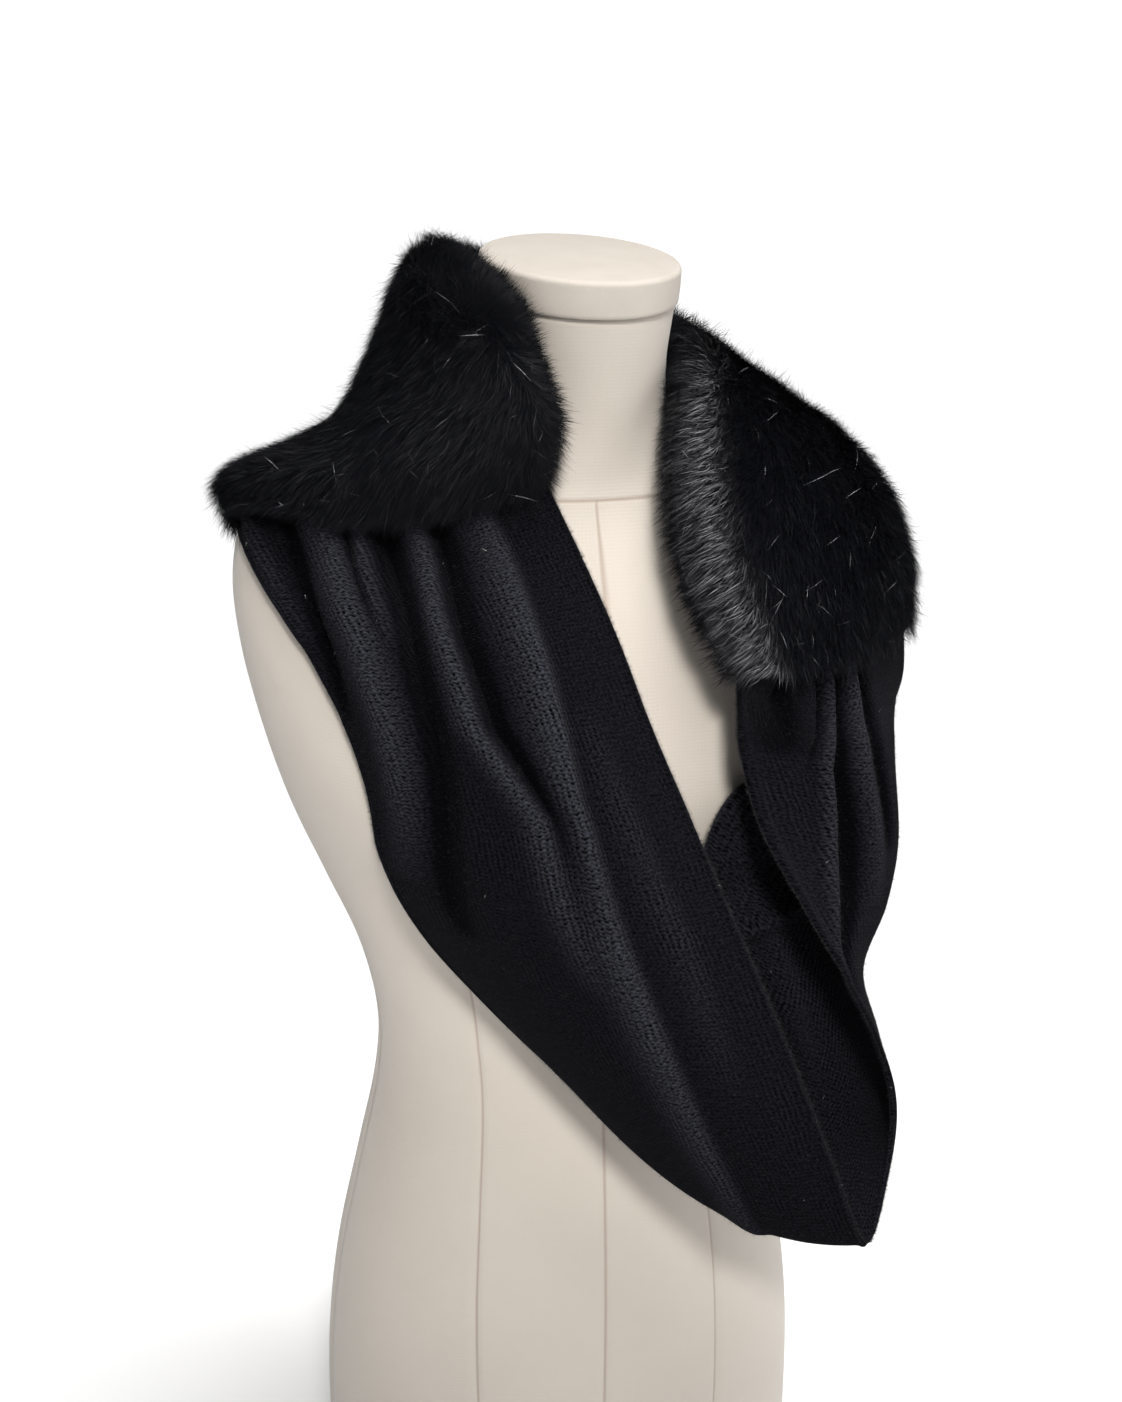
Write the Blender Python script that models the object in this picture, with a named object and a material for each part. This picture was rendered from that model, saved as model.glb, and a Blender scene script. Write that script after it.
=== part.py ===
"""An infinity scarf worn on a limbless dress form, in metres, +Z up, the form facing -Y.

The scarf is one loop: a knitted band that hangs in front as a deep cowl, and a fur collar band that
goes over both shoulders and stands up round the back of the neck. Each stretch that shows is a solid.
The form is a covered torso with a flat base, and a covered cap on its neck.
"""

import math
from collections import namedtuple

import bpy
import numpy as np
from mathutils import Vector
from mathutils.bvhtree import BVHTree

# Cloth and clearances
KNIT_THICKNESS = 0.0028
SEAM_GAP = 0.0006
GATHERED_SEAM_GAP = 0.0008
PILE_BELOW_THE_SEAM = 0.0042
CLOTH_CLEARANCE = 0.0007

# How finely the pieces are divided
FORM_SEGMENTS = 36
FORM_STEPS_PER_RING = 2
FALL_STEPS = 32
RISE_STEPS = 30
KNIT_COLUMNS = 30
COLLAR_STEPS = 4
COLLAR_COLUMN_STEP = 2

# The dress form, as rings from its base to the top of its neck. Front and back are measured from
# the ring's centre, and a tilted ring is lower in front.
Ring = namedtuple("Ring", "height centre_y half_width front back squareness tilt")
FORM_RINGS = [
    Ring(0.000, 0.000, 0.142, 0.096, 0.114, 2.15, 0),
    Ring(0.004, 0.000, 0.146, 0.100, 0.118, 2.15, 0),
    Ring(0.050, 0.000, 0.148, 0.103, 0.122, 2.15, 0),
    Ring(0.110, 0.000, 0.147, 0.104, 0.121, 2.15, 0),
    Ring(0.170, 0.000, 0.140, 0.102, 0.112, 2.15, 0),
    Ring(0.230, 0.000, 0.127, 0.096, 0.096, 2.15, 0),
    Ring(0.285, 0.000, 0.115, 0.089, 0.082, 2.15, 0),
    Ring(0.325, 0.000, 0.113, 0.087, 0.080, 2.15, 0),
    Ring(0.370, 0.000, 0.123, 0.092, 0.085, 2.15, 0),
    Ring(0.415, 0.000, 0.142, 0.101, 0.092, 2.2, 0),
    Ring(0.460, 0.000, 0.161, 0.109, 0.098, 2.3, 2),
    Ring(0.505, 0.000, 0.175, 0.110, 0.102, 2.4, 4),
    Ring(0.550, 0.000, 0.185, 0.102, 0.103, 2.5, 7),
    Ring(0.590, 0.000, 0.188, 0.090, 0.099, 2.4, 10),
    Ring(0.620, 0.000, 0.180, 0.078, 0.090, 2.2, 13),
    Ring(0.640, 0.000, 0.156, 0.070, 0.080, 2.0, 16),
    Ring(0.653, -0.002, 0.117, 0.064, 0.070, 2.0, 18),
    Ring(0.665, -0.006, 0.078, 0.058, 0.060, 2.0, 18),
    Ring(0.684, -0.012, 0.058, 0.053, 0.054, 2.0, 16),
    Ring(0.710, -0.020, 0.0525, 0.051, 0.051, 2.0, 15),
    Ring(0.742, -0.029, 0.0535, 0.052, 0.052, 2.0, 14),
]
BUST_HEIGHT = 0.470
BUST_ANGLE = math.radians(37)
BUST_PROJECTION = 0.020
BUST_ANGLE_SPREAD = math.radians(24)
BUST_HEIGHT_SPREAD = 0.050

# The covered cap on the neck
CAP_RADIUS = 0.0552
CAP_THICKNESS = 0.021
CAP_EDGE_RADIUS = 0.003

# The knitted band, as sections from the seam on the right shoulder, down to the tip of the cowl
# and up to the seam on the left breast. Inner is the neck edge, outer the arm edge, and bulge is
# how far the middle of the section stands off the straight line between them.
Section = namedtuple("Section", "inner outer bulge")
KNIT_SECTIONS = [
    Section((-0.032, -0.073, 0.646), (-0.188, -0.004, 0.622), (0.000, -0.022, -0.010)),
    Section((-0.018, -0.094, 0.606), (-0.177, -0.042, 0.590), (-0.004, -0.026, -0.004)),
    Section((-0.006, -0.117, 0.566), (-0.160, -0.070, 0.557), (-0.008, -0.028, 0.000)),
    Section((0.006, -0.135, 0.523), (-0.145, -0.088, 0.520), (-0.010, -0.030, 0.000)),
    Section((0.022, -0.150, 0.478), (-0.136, -0.098, 0.484), (-0.012, -0.030, 0.000)),
    Section((0.038, -0.164, 0.432), (-0.128, -0.094, 0.446), (-0.014, -0.030, -0.002)),
    Section((0.056, -0.174, 0.386), (-0.108, -0.092, 0.408), (-0.014, -0.028, -0.006)),
    Section((0.074, -0.183, 0.338), (-0.080, -0.098, 0.373), (-0.014, -0.024, -0.012)),
    Section((0.092, -0.190, 0.288), (-0.048, -0.108, 0.338), (-0.012, -0.018, -0.018)),
    Section((0.112, -0.194, 0.240), (-0.018, -0.120, 0.310), (-0.004, -0.006, -0.022)),
    Section((0.129, -0.184, 0.274), (-0.008, -0.122, 0.334), (0.021, 0.003, -0.027)),
    Section((0.131, -0.181, 0.316), (0.004, -0.125, 0.368), (0.044, 0.008, -0.029)),
    Section((0.116, -0.183, 0.357), (0.018, -0.127, 0.404), (0.049, 0.011, -0.027)),
    Section((0.097, -0.180, 0.394), (0.034, -0.129, 0.440), (0.054, 0.014, -0.032)),
    Section((0.077, -0.172, 0.431), (0.052, -0.130, 0.480), (0.081, 0.018, -0.040)),
    Section((0.059, -0.158, 0.470), (0.090, -0.128, 0.500), (0.076, 0.006, -0.034)),
    Section((0.051, -0.147, 0.508), (0.150, -0.100, 0.505), (0.040, -0.010, -0.012)),
    Section((0.051, -0.142, 0.530), (0.184, -0.070, 0.524), (0.010, -0.018, -0.010)),
    Section((0.052, -0.138, 0.549), (0.195, -0.050, 0.555), (-0.005, -0.016, -0.010)),
]
COWL_TIP = 9

# Folds of the knitted band: where each starts and ends along the band in sections, where it lies
# across the band at both ends (0 neck edge, 1 arm edge), its half width across and its height.
# Ridges are positive and valleys negative.
Fold = namedtuple("Fold", "start end across_start across_end half_width height")
KNIT_FOLDS = [
    Fold(-1.5, 9.5, 0.165, 0.40, 0.045, 0.0075),
    Fold(-1.5, 5.5, 0.290, 0.40, 0.035, -0.0060),
    Fold(-1.5, 6.5, 0.385, 0.55, 0.045, 0.0085),
    Fold(-1.5, 5.8, 0.510, 0.76, 0.035, -0.0085),
    Fold(-1.5, 2.2, 0.600, 0.66, 0.030, 0.0060),
    Fold(-1.5, 1.6, 0.655, 0.68, 0.020, -0.0055),
    Fold(-1.5, 4.6, 0.710, 0.85, 0.045, 0.0065),
    Fold(-1.5, 2.0, 0.762, 0.77, 0.018, -0.0055),
    Fold(-1.5, 2.2, 0.805, 0.82, 0.022, 0.0055),
    Fold(-1.5, 3.6, 0.850, 0.90, 0.022, -0.0060),
    Fold(-1.5, 3.0, 0.925, 0.96, 0.030, 0.0040),
    Fold(11.5, 19.5, 0.420, 0.27, 0.050, 0.0045),
    Fold(15.0, 20.0, 0.400, 0.36, 0.030, -0.0040),
    Fold(13.5, 20.0, 0.520, 0.45, 0.045, 0.0050),
    Fold(16.3, 20.0, 0.560, 0.54, 0.026, -0.0040),
    Fold(16.5, 20.0, 0.640, 0.63, 0.035, 0.0040),
    Fold(16.8, 20.0, 0.740, 0.73, 0.035, -0.0030),
    Fold(16.8, 20.0, 0.850, 0.84, 0.040, 0.0030),
]

# The fur collar band, as sections from the seam on the left breast, round the back of the neck,
# to the seam on the right shoulder, the way the loop runs on from the knitted band. Top is the neck
# edge, bend pulls the band in where the standing part meets the part that lies on the shoulder, and
# outer is the arm edge. Stand and lie are how thick those two parts are with their pile.
CollarSection = namedtuple("CollarSection", "top bend outer stand lie")
COLLAR_SECTIONS = [
    CollarSection((0.052, -0.138, 0.549), (0.120, -0.120, 0.550), (0.195, -0.050, 0.555), 0.024, 0.024),
    CollarSection((0.031, -0.116, 0.598), (0.124, -0.102, 0.606), (0.204, -0.034, 0.590), 0.028, 0.026),
    CollarSection((0.031, -0.092, 0.644), (0.124, -0.068, 0.652), (0.203, -0.010, 0.619), 0.034, 0.027),
    CollarSection((0.047, -0.058, 0.690), (0.112, -0.020, 0.692), (0.192, 0.022, 0.637), 0.040, 0.027),
    CollarSection((0.072, 0.006, 0.718), (0.096, 0.028, 0.694), (0.168, 0.070, 0.640), 0.042, 0.027),
    CollarSection((0.046, 0.048, 0.744), (0.052, 0.074, 0.704), (0.096, 0.118, 0.640), 0.040, 0.028),
    CollarSection((0.000, 0.066, 0.758), (0.000, 0.084, 0.704), (0.000, 0.134, 0.632), 0.042, 0.028),
    CollarSection((-0.054, 0.042, 0.768), (-0.060, 0.076, 0.698), (-0.092, 0.112, 0.638), 0.040, 0.022),
    CollarSection((-0.070, -0.018, 0.766), (-0.108, 0.020, 0.674), (-0.168, 0.062, 0.645), 0.052, 0.017),
    CollarSection((-0.050, -0.064, 0.742), (-0.106, -0.036, 0.674), (-0.192, 0.020, 0.643), 0.052, 0.018),
    CollarSection((-0.031, -0.082, 0.686), (-0.104, -0.078, 0.664), (-0.194, 0.004, 0.637), 0.036, 0.022),
    CollarSection((-0.032, -0.073, 0.646), (-0.109, -0.080, 0.636), (-0.188, -0.004, 0.622), 0.022, 0.024),
]
COLLAR_CUTS = (4, 7)
COLLAR_BEND = 2.7
SEAM_EASE_ROWS = 6

COVER_COLOUR = (0.74, 0.69, 0.64, 1)
CAP_COLOUR = (0.86, 0.84, 0.80, 1)
KNIT_COLOUR = (0.012, 0.012, 0.015, 1)
FUR_COLOUR = (0.006, 0.006, 0.008, 1)


def cleared_scene():
    for obj in list(bpy.data.objects):
        bpy.data.objects.remove(obj, do_unlink=True)


def material(name, colour, roughness):
    made = bpy.data.materials.new(name)
    made.use_nodes = True
    shader = made.node_tree.nodes["Principled BSDF"]
    shader.inputs["Base Color"].default_value = colour
    shader.inputs["Roughness"].default_value = roughness
    shader.inputs["Metallic"].default_value = 0.0
    return made


def through(rows, at):
    """Points of a smooth curve through evenly numbered rows, at the given row numbers."""
    rows = np.asarray(rows, float)
    before = 2 * rows[0] - rows[1]
    after = 2 * rows[-1] - rows[-2]
    padded = np.vstack([before, rows, after])
    at = np.asarray(at, float)
    low = np.clip(np.floor(at).astype(int), 0, len(rows) - 2)
    t = (at - low)[:, None]
    a, b, c, d = (padded[low + k] for k in range(4))
    return b + 0.5 * t * (c - a + t * (2 * a - 5 * b + 4 * c - d + t * (3 * (b - c) + d - a)))


def mesh_object(name, points, faces, finish, smooth_angle=40):
    mesh = bpy.data.meshes.new(name)
    mesh.from_pydata([tuple(p) for p in points], [], faces)
    mesh.validate()
    mesh.shade_smooth()
    mesh.set_sharp_from_angle(angle=math.radians(smooth_angle))
    mesh.materials.append(finish)
    obj = bpy.data.objects.new(name, mesh)
    bpy.context.scene.collection.objects.link(obj)
    return obj


def tube_faces(rings, around):
    """Quads between rings of points that run anticlockwise seen from the last ring, with flat ends."""
    faces = []
    for ring in range(rings - 1):
        for k in range(around):
            near, far = ring * around, (ring + 1) * around
            step = (k + 1) % around
            faces.append((near + k, near + step, far + step, far + k))
    faces.append(tuple(reversed(range(around))))
    faces.append(tuple(range((rings - 1) * around, rings * around)))
    return faces


def power(value, exponent):
    return np.sign(value) * np.abs(value) ** exponent


def form_ring(row):
    """Points of one ring of the form, from a smoothed row of FORM_RINGS."""
    height, centre_y, half_width, front, back, squareness, tilt = row
    turn = np.arange(FORM_SEGMENTS) * 2 * math.pi / FORM_SEGMENTS
    side, ahead = np.sin(turn), np.cos(turn)
    x = half_width * power(side, 2 / squareness)
    y = -np.where(ahead > 0, front, back) * power(ahead, 2 / squareness)
    near_bust = np.exp(-(((height - BUST_HEIGHT) / BUST_HEIGHT_SPREAD) ** 2))
    for mound in (BUST_ANGLE, 2 * math.pi - BUST_ANGLE):
        away = (turn - mound + math.pi) % (2 * math.pi) - math.pi
        out = BUST_PROJECTION * near_bust * np.exp(-((away / BUST_ANGLE_SPREAD) ** 2))
        x = x + out * math.sin(mound) * 0.4
        y = y - out
    tilt = math.radians(tilt)
    return np.column_stack([x, centre_y + y * math.cos(tilt), height + y * math.sin(tilt)])


def form_points():
    last = len(FORM_RINGS) - 1
    at = [0, *np.linspace(1, last, (last - 1) * FORM_STEPS_PER_RING + 1)]
    return np.array([form_ring(row) for row in through(FORM_RINGS, at)])


def dress_form(finish):
    """The covered torso and neck, one smooth body with a flat base."""
    rings = form_points()
    faces = tube_faces(len(rings), FORM_SEGMENTS)
    return mesh_object("form_body", rings.reshape(-1, 3), faces, finish)


def neck_cap(finish):
    """The covered cap, a round plate with a soft upper edge, square to the leaning neck."""
    top = FORM_RINGS[-1]
    lean = math.radians(top.tilt)
    up = np.array([0, -math.sin(lean), math.cos(lean)])
    ahead = np.array([0, -math.cos(lean), -math.sin(lean)])
    centre = np.array([0, top.centre_y, top.height])
    profile = [(CAP_RADIUS - CAP_EDGE_RADIUS / 2, SEAM_GAP), (CAP_RADIUS, CAP_EDGE_RADIUS)]
    for step in range(4):
        angle = math.radians(step * 30)
        radius = CAP_RADIUS - CAP_EDGE_RADIUS * (1 - math.cos(angle))
        profile.append((radius, CAP_THICKNESS - CAP_EDGE_RADIUS * (1 - math.sin(angle))))
    points = []
    for radius, height in profile:
        for k in range(FORM_SEGMENTS):
            turn = k * 2 * math.pi / FORM_SEGMENTS
            across = np.array([math.sin(turn), 0, 0]) + math.cos(turn) * ahead
            points.append(centre + radius * across + height * up)
    faces = tube_faces(len(profile), FORM_SEGMENTS)
    return mesh_object("form_neck_cap", points, faces, finish)


def surface_of(objects):
    corners, faces = [], []
    for obj in objects:
        first = len(corners)
        corners += [v.co.copy() for v in obj.data.vertices]
        faces += [tuple(first + v for v in p.vertices) for p in obj.data.polygons]
    return BVHTree.FromPolygons(corners, faces)


def clear_of(surface, points, gap):
    """The points, those inside the form or nearer to it than gap moved out to that gap."""
    gaps = np.broadcast_to(gap, points.shape[:-1])
    moved = points.copy()
    for index in np.ndindex(points.shape[:-1]):
        point = Vector(points[index])
        spot, normal, _, distance = surface.find_nearest(point)
        if (point - spot).dot(normal) < 0:
            moved[index] = spot + normal * gaps[index]
        elif distance < gaps[index]:
            moved[index] = spot + (point - spot + normal * 1e-6).normalized() * gaps[index]
    return moved


def softened(points):
    """A grid of points with each inner one moved half way to the mean of its neighbours."""
    mean = (points[:-2, 1:-1] + points[2:, 1:-1] + points[1:-1, :-2] + points[1:-1, 2:]) / 4
    soft = points.copy()
    soft[1:-1, 1:-1] = (points[1:-1, 1:-1] + mean) / 2
    return soft


def normals_of(points):
    """Unit normals of a grid of points, on the side that the cloth shows outside."""
    along = np.gradient(points, axis=0)
    across = np.gradient(points, axis=1)
    return unit(np.cross(across, along))


def unit(vectors):
    return vectors / np.linalg.norm(vectors, axis=-1, keepdims=True)


def fold_height(along, across):
    """How far the folds lift the band at a place along it, in sections, and across it."""
    lift = np.zeros(np.broadcast(along, across).shape)
    for fold in KNIT_FOLDS:
        share = np.clip((along - fold.start) / (fold.end - fold.start), 0, 1)
        middle = fold.across_start + (fold.across_end - fold.across_start) * share
        fade = np.sin(math.pi * share) ** 0.6
        lift += fold.height * fade * np.exp(-(((across - middle) / fold.half_width) ** 2))
    return lift


def knit_band(surface):
    """The middle surface of the whole knitted band before its folds are raised, then after, with
    its normals. The folds at a seam rise square to the band, so that the seam stays one line."""
    last = len(KNIT_SECTIONS) - 1
    falling = np.linspace(0, COWL_TIP, FALL_STEPS + 1)
    rising = np.linspace(COWL_TIP, last, RISE_STEPS + 1)
    along = np.concatenate([falling, rising[1:]])
    across = np.linspace(0, 1, KNIT_COLUMNS + 1)
    inner = through([s.inner for s in KNIT_SECTIONS], along)[:, None]
    outer = through([s.outer for s in KNIT_SECTIONS], along)[:, None]
    bulge = through([s.bulge for s in KNIT_SECTIONS], along)[:, None]
    share = across[None, :, None]
    flat = inner * (1 - share) + outer * share + 4 * share * (1 - share) * bulge
    gap = KNIT_THICKNESS / 2 + CLOTH_CLEARANCE
    flat = softened(clear_of(surface, flat, gap + 0.003))
    lift = fold_height(along[:, None], across[None, :])
    folded = clear_of(surface, flat + normals_of(flat) * lift[:, :, None], gap)
    normals = normals_of(folded)
    for end, next_in in ((0, 1), (-1, -2)):
        away = unit(flat[end] - flat[next_in])
        slip = np.sum((folded[end] - flat[end]) * away, axis=-1, keepdims=True)
        folded[end] -= away * slip
        slip = np.sum(normals[end] * away, axis=-1, keepdims=True)
        normals[end] = unit(normals[end] - away * slip)
    return flat, folded, normals


def drawn_back(points, end, gap):
    """A grid whose first or last row is drawn back a little, to leave room for a seam."""
    drawn = points.copy()
    here, next_in = (0, 1) if end == "first" else (-1, -2)
    drawn[here] += unit(points[next_in] - points[here]) * gap
    return drawn


def sheet_object(name, middle, normals, finish):
    """A closed knitted wall of even thickness on both sides of a grid of points."""
    rows, columns, _ = middle.shape
    half = normals * KNIT_THICKNESS / 2
    points = np.vstack([(middle + half).reshape(-1, 3), (middle - half).reshape(-1, 3)])
    return mesh_object(name, points, slab_faces(rows, columns), finish, smooth_angle=60)


def slab_faces(rows, columns):
    """Faces of a closed slab: an outer grid of points, then the inner grid behind it. The end
    faces that meet at a seam are split the same way on both pieces."""
    below = rows * columns
    faces = []
    for i in range(rows - 1):
        for j in range(columns - 1):
            a = i * columns + j
            b, c, d = a + 1, a + columns + 1, a + columns
            faces.append((a, b, c, d))
            faces.append((a + below, d + below, c + below, b + below))
        near, far = i * columns, (i + 1) * columns
        faces.append((near, far, far + below, near + below))
        near, far = near + columns - 1, far + columns - 1
        faces.append((far, near, near + below, far + below))
    for j in range(columns - 1):
        a, b = j, j + 1
        faces.append((b, a, b + below))
        faces.append((a, a + below, b + below))
        a, b = a + (rows - 1) * columns, b + (rows - 1) * columns
        faces.append((a, b, b + below))
        faces.append((a, b + below, a + below))
    return faces


def collar_middle(at, share):
    """The middle surface of the collar band and its thickness, at section numbers and shares."""
    rows = [[*s.top, *s.bend, *s.outer, s.stand, s.lie] for s in COLLAR_SECTIONS]
    rows = through(rows, at)
    top, bend, outer = rows[:, None, 0:3], rows[:, None, 3:6], rows[:, None, 6:9]
    s = share[None, :, None]
    middle = top * (1 - s) + outer * s + COLLAR_BEND * s * (1 - s) * (bend - (top + outer) / 2)
    standing = np.clip(1 - share / 0.6, 0, 1)[None, :]
    thickness = rows[:, 9:10] * standing + rows[:, 10:11] * (1 - standing)
    rounding = np.maximum(np.sqrt(1 - (2 * share - 1) ** 8), 0.35)
    return middle, thickness * rounding[None, :]


def fur_collar(seams, surface):
    """The outer and inner surfaces of the whole collar band. Seams holds, for its first and last
    rows, the line where the knitted band ends, its normals, and the direction out of the knit."""
    last = len(COLLAR_SECTIONS) - 1
    share = np.linspace(0, 1, KNIT_COLUMNS // COLLAR_COLUMN_STEP + 1)
    at = np.linspace(0, last, last * COLLAR_STEPS + 1)
    middle, thickness = collar_middle(at, share)
    middle = clear_of(surface, middle, thickness / 2 + CLOTH_CLEARANCE)
    for row, (line, normal, away) in seams.items():
        raised = thickness[row][:, None] / 2 - PILE_BELOW_THE_SEAM
        shift = line + away * GATHERED_SEAM_GAP + normal * raised - middle[row]
        for step in range(SEAM_EASE_ROWS):
            eased = 0.5 + 0.5 * math.cos(math.pi * step / SEAM_EASE_ROWS)
            middle[step if row == 0 else -1 - step] += shift * eased
    normals = normals_of(middle)
    for row, (line, normal, away) in seams.items():
        normals[row] = normal
    half = normals * thickness[:, :, None] / 2
    return middle + half, clear_of(surface, middle - half, CLOTH_CLEARANCE)


def collar_stretch(name, outside, inside, finish):
    rows, columns, _ = outside.shape
    points = np.vstack([outside.reshape(-1, 3), inside.reshape(-1, 3)])
    return mesh_object(name, points, slab_faces(rows, columns), finish, smooth_angle=75)


def set_on_origin(objects):
    """Puts the middle of the base of everything's bounding box on the origin."""
    corners = np.vstack([[v.co for v in obj.data.vertices] for obj in objects])
    low, high = corners.min(axis=0), corners.max(axis=0)
    holder = bpy.data.objects.new("whole_part", None)
    holder.location = (-(low[0] + high[0]) / 2, -(low[1] + high[1]) / 2, -low[2])
    bpy.context.scene.collection.objects.link(holder)
    for obj in objects:
        obj.parent = holder


def main():
    cleared_scene()
    cover = material("linen_cover", COVER_COLOUR, 0.85)
    cap_cover = material("cap_cover", CAP_COLOUR, 0.85)
    wool = material("black_wool_knit", KNIT_COLOUR, 0.95)
    fur = material("black_fur", FUR_COLOUR, 0.6)

    objects = [dress_form(cover), neck_cap(cap_cover)]
    surface = surface_of(objects)

    flat, folded, normals = knit_band(surface)
    fall = drawn_back(folded[: FALL_STEPS + 1], "last", SEAM_GAP / 2)
    rise = drawn_back(folded[FALL_STEPS:], "first", SEAM_GAP / 2)
    objects.append(sheet_object("knit_falling_stretch", fall, normals[: FALL_STEPS + 1], wool))
    objects.append(sheet_object("knit_rising_stretch", rise, normals[FALL_STEPS:], wool))

    seams = {}
    for row, end, next_in in ((0, -1, -2), (-1, 0, 1)):
        line_and_more = (flat[end], normals_of(flat)[end], unit(flat[end] - flat[next_in]))
        seams[row] = [grid[::COLLAR_COLUMN_STEP] for grid in line_and_more]
    outside, inside = fur_collar(seams, surface)
    cuts = [0, *(section * COLLAR_STEPS for section in COLLAR_CUTS), len(outside) - 1]
    names = ("fur_left_shoulder", "fur_back_of_neck", "fur_right_shoulder")
    for name, low, high in zip(names, cuts, cuts[1:]):
        faces = [outside[low : high + 1], inside[low : high + 1]]
        if low:
            faces = [drawn_back(grid, "first", SEAM_GAP / 2) for grid in faces]
        if high < len(outside) - 1:
            faces = [drawn_back(grid, "last", SEAM_GAP / 2) for grid in faces]
        objects.append(collar_stretch(name, *faces, fur))
    set_on_origin(objects)


main()
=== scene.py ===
import math
from collections import namedtuple

import bpy
import numpy as np
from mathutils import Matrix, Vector
from mathutils.bvhtree import BVHTree


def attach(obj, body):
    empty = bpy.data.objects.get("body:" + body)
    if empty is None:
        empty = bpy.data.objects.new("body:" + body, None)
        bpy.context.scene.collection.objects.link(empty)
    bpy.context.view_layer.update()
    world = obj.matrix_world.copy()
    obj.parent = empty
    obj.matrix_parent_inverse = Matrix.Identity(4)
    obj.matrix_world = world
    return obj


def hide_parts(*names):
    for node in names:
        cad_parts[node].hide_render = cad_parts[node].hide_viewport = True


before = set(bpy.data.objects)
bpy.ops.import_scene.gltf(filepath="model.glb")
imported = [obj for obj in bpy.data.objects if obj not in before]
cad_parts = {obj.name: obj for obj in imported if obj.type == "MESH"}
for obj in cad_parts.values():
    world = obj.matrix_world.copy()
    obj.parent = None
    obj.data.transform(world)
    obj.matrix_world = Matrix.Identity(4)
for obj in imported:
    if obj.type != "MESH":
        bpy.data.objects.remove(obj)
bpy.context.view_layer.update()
scene = bpy.context.scene

# The dress form
# A hollow torso is padded and covered in a pale plain-woven linen, cut in panels. It is built as
# rings from its base to the top of its neck, and its seams are pressed open and lie a little sunk.
Ring = namedtuple("Ring", "height centre_y half_width front back squareness tilt")
FORM_RINGS = [
    Ring(0.000, 0.000, 0.142, 0.096, 0.114, 2.15, 0),
    Ring(0.004, 0.000, 0.146, 0.100, 0.118, 2.15, 0),
    Ring(0.050, 0.000, 0.148, 0.103, 0.122, 2.15, 0),
    Ring(0.110, 0.000, 0.147, 0.104, 0.121, 2.15, 0),
    Ring(0.170, 0.000, 0.140, 0.102, 0.112, 2.15, 0),
    Ring(0.230, 0.000, 0.127, 0.096, 0.096, 2.15, 0),
    Ring(0.285, 0.000, 0.115, 0.089, 0.082, 2.15, 0),
    Ring(0.325, 0.000, 0.113, 0.087, 0.080, 2.15, 0),
    Ring(0.370, 0.000, 0.123, 0.092, 0.085, 2.15, 0),
    Ring(0.415, 0.000, 0.142, 0.101, 0.092, 2.2, 0),
    Ring(0.460, 0.000, 0.161, 0.109, 0.098, 2.3, 2),
    Ring(0.505, 0.000, 0.175, 0.110, 0.102, 2.4, 4),
    Ring(0.550, 0.000, 0.185, 0.102, 0.103, 2.5, 7),
    Ring(0.590, 0.000, 0.188, 0.090, 0.099, 2.4, 10),
    Ring(0.620, 0.000, 0.180, 0.078, 0.090, 2.2, 13),
    Ring(0.640, 0.000, 0.156, 0.070, 0.080, 2.0, 16),
    Ring(0.653, -0.002, 0.117, 0.064, 0.070, 2.0, 18),
    Ring(0.665, -0.006, 0.078, 0.058, 0.060, 2.0, 18),
    Ring(0.684, -0.012, 0.058, 0.053, 0.054, 2.0, 16),
    Ring(0.710, -0.020, 0.0525, 0.051, 0.051, 2.0, 15),
    Ring(0.742, -0.029, 0.0535, 0.052, 0.052, 2.0, 14),
]
BUST_HEIGHT = 0.470
BUST_ANGLE = math.radians(37)
BUST_PROJECTION = 0.020
BUST_ANGLE_SPREAD = math.radians(24)
BUST_HEIGHT_SPREAD = 0.050
LINEN_COLOUR = "#C3BCB2"
LINEN_SHADE = "#B4ABA2"
SEAM_COLOUR = "#A4968A"
LINEN_RIB = 0.0019  # a real thread is 0.5 mm, drawn as coarse as it needs to show
SEAM_DEPTH = 0.0007
SEAM_HALF_WIDTH = 0.0011
COLUMNS_OF_PANEL = 22

# The form's own upright axis, in the frame of the whole part
FORM_AXIS = np.array([-0.00551, 0.02868, 0.0])


def linear(code):
    """A linear RGBA colour from an sRGB hex value."""
    channels = [int(code[k : k + 2], 16) / 255 for k in (1, 3, 5)]
    return (*(c / 12.92 if c <= 0.04045 else ((c + 0.055) / 1.055) ** 2.4 for c in channels), 1)


def add_node(material, kind, links=None, settings=None, sockets=None):
    """Adds one shader node, sets it and its sockets, and links other nodes' outputs to it."""
    node = material.node_tree.nodes.new(kind)
    for name, value in (settings or {}).items():
        setattr(node, name, value)
    for socket, value in (sockets or {}).items():
        node.inputs[socket].default_value = value
    for socket, output in (links or {}).items():
        material.node_tree.links.new(output, node.inputs[socket])
    return node


def new_material(name, **sockets):
    """A material with a Principled shader whose sockets are set as given."""
    made = bpy.data.materials.new(name)
    made.use_nodes = True
    shader = made.node_tree.nodes["Principled BSDF"]
    for socket, value in sockets.items():
        shader.inputs[socket.replace("_", " ")].default_value = value
    return made, shader


def through(rows, at):
    """Points of a smooth curve through evenly numbered rows, at the given row numbers."""
    rows = np.asarray(rows, float)
    padded = np.vstack([2 * rows[0] - rows[1], rows, 2 * rows[-1] - rows[-2]])
    at = np.asarray(at, float)
    low = np.clip(np.floor(at).astype(int), 0, len(rows) - 2)
    t = (at - low)[:, None]
    a, b, c, d = (padded[low + k] for k in range(4))
    return b + 0.5 * t * (c - a + t * (2 * a - 5 * b + 4 * c - d + t * (3 * (b - c) + d - a)))


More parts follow.
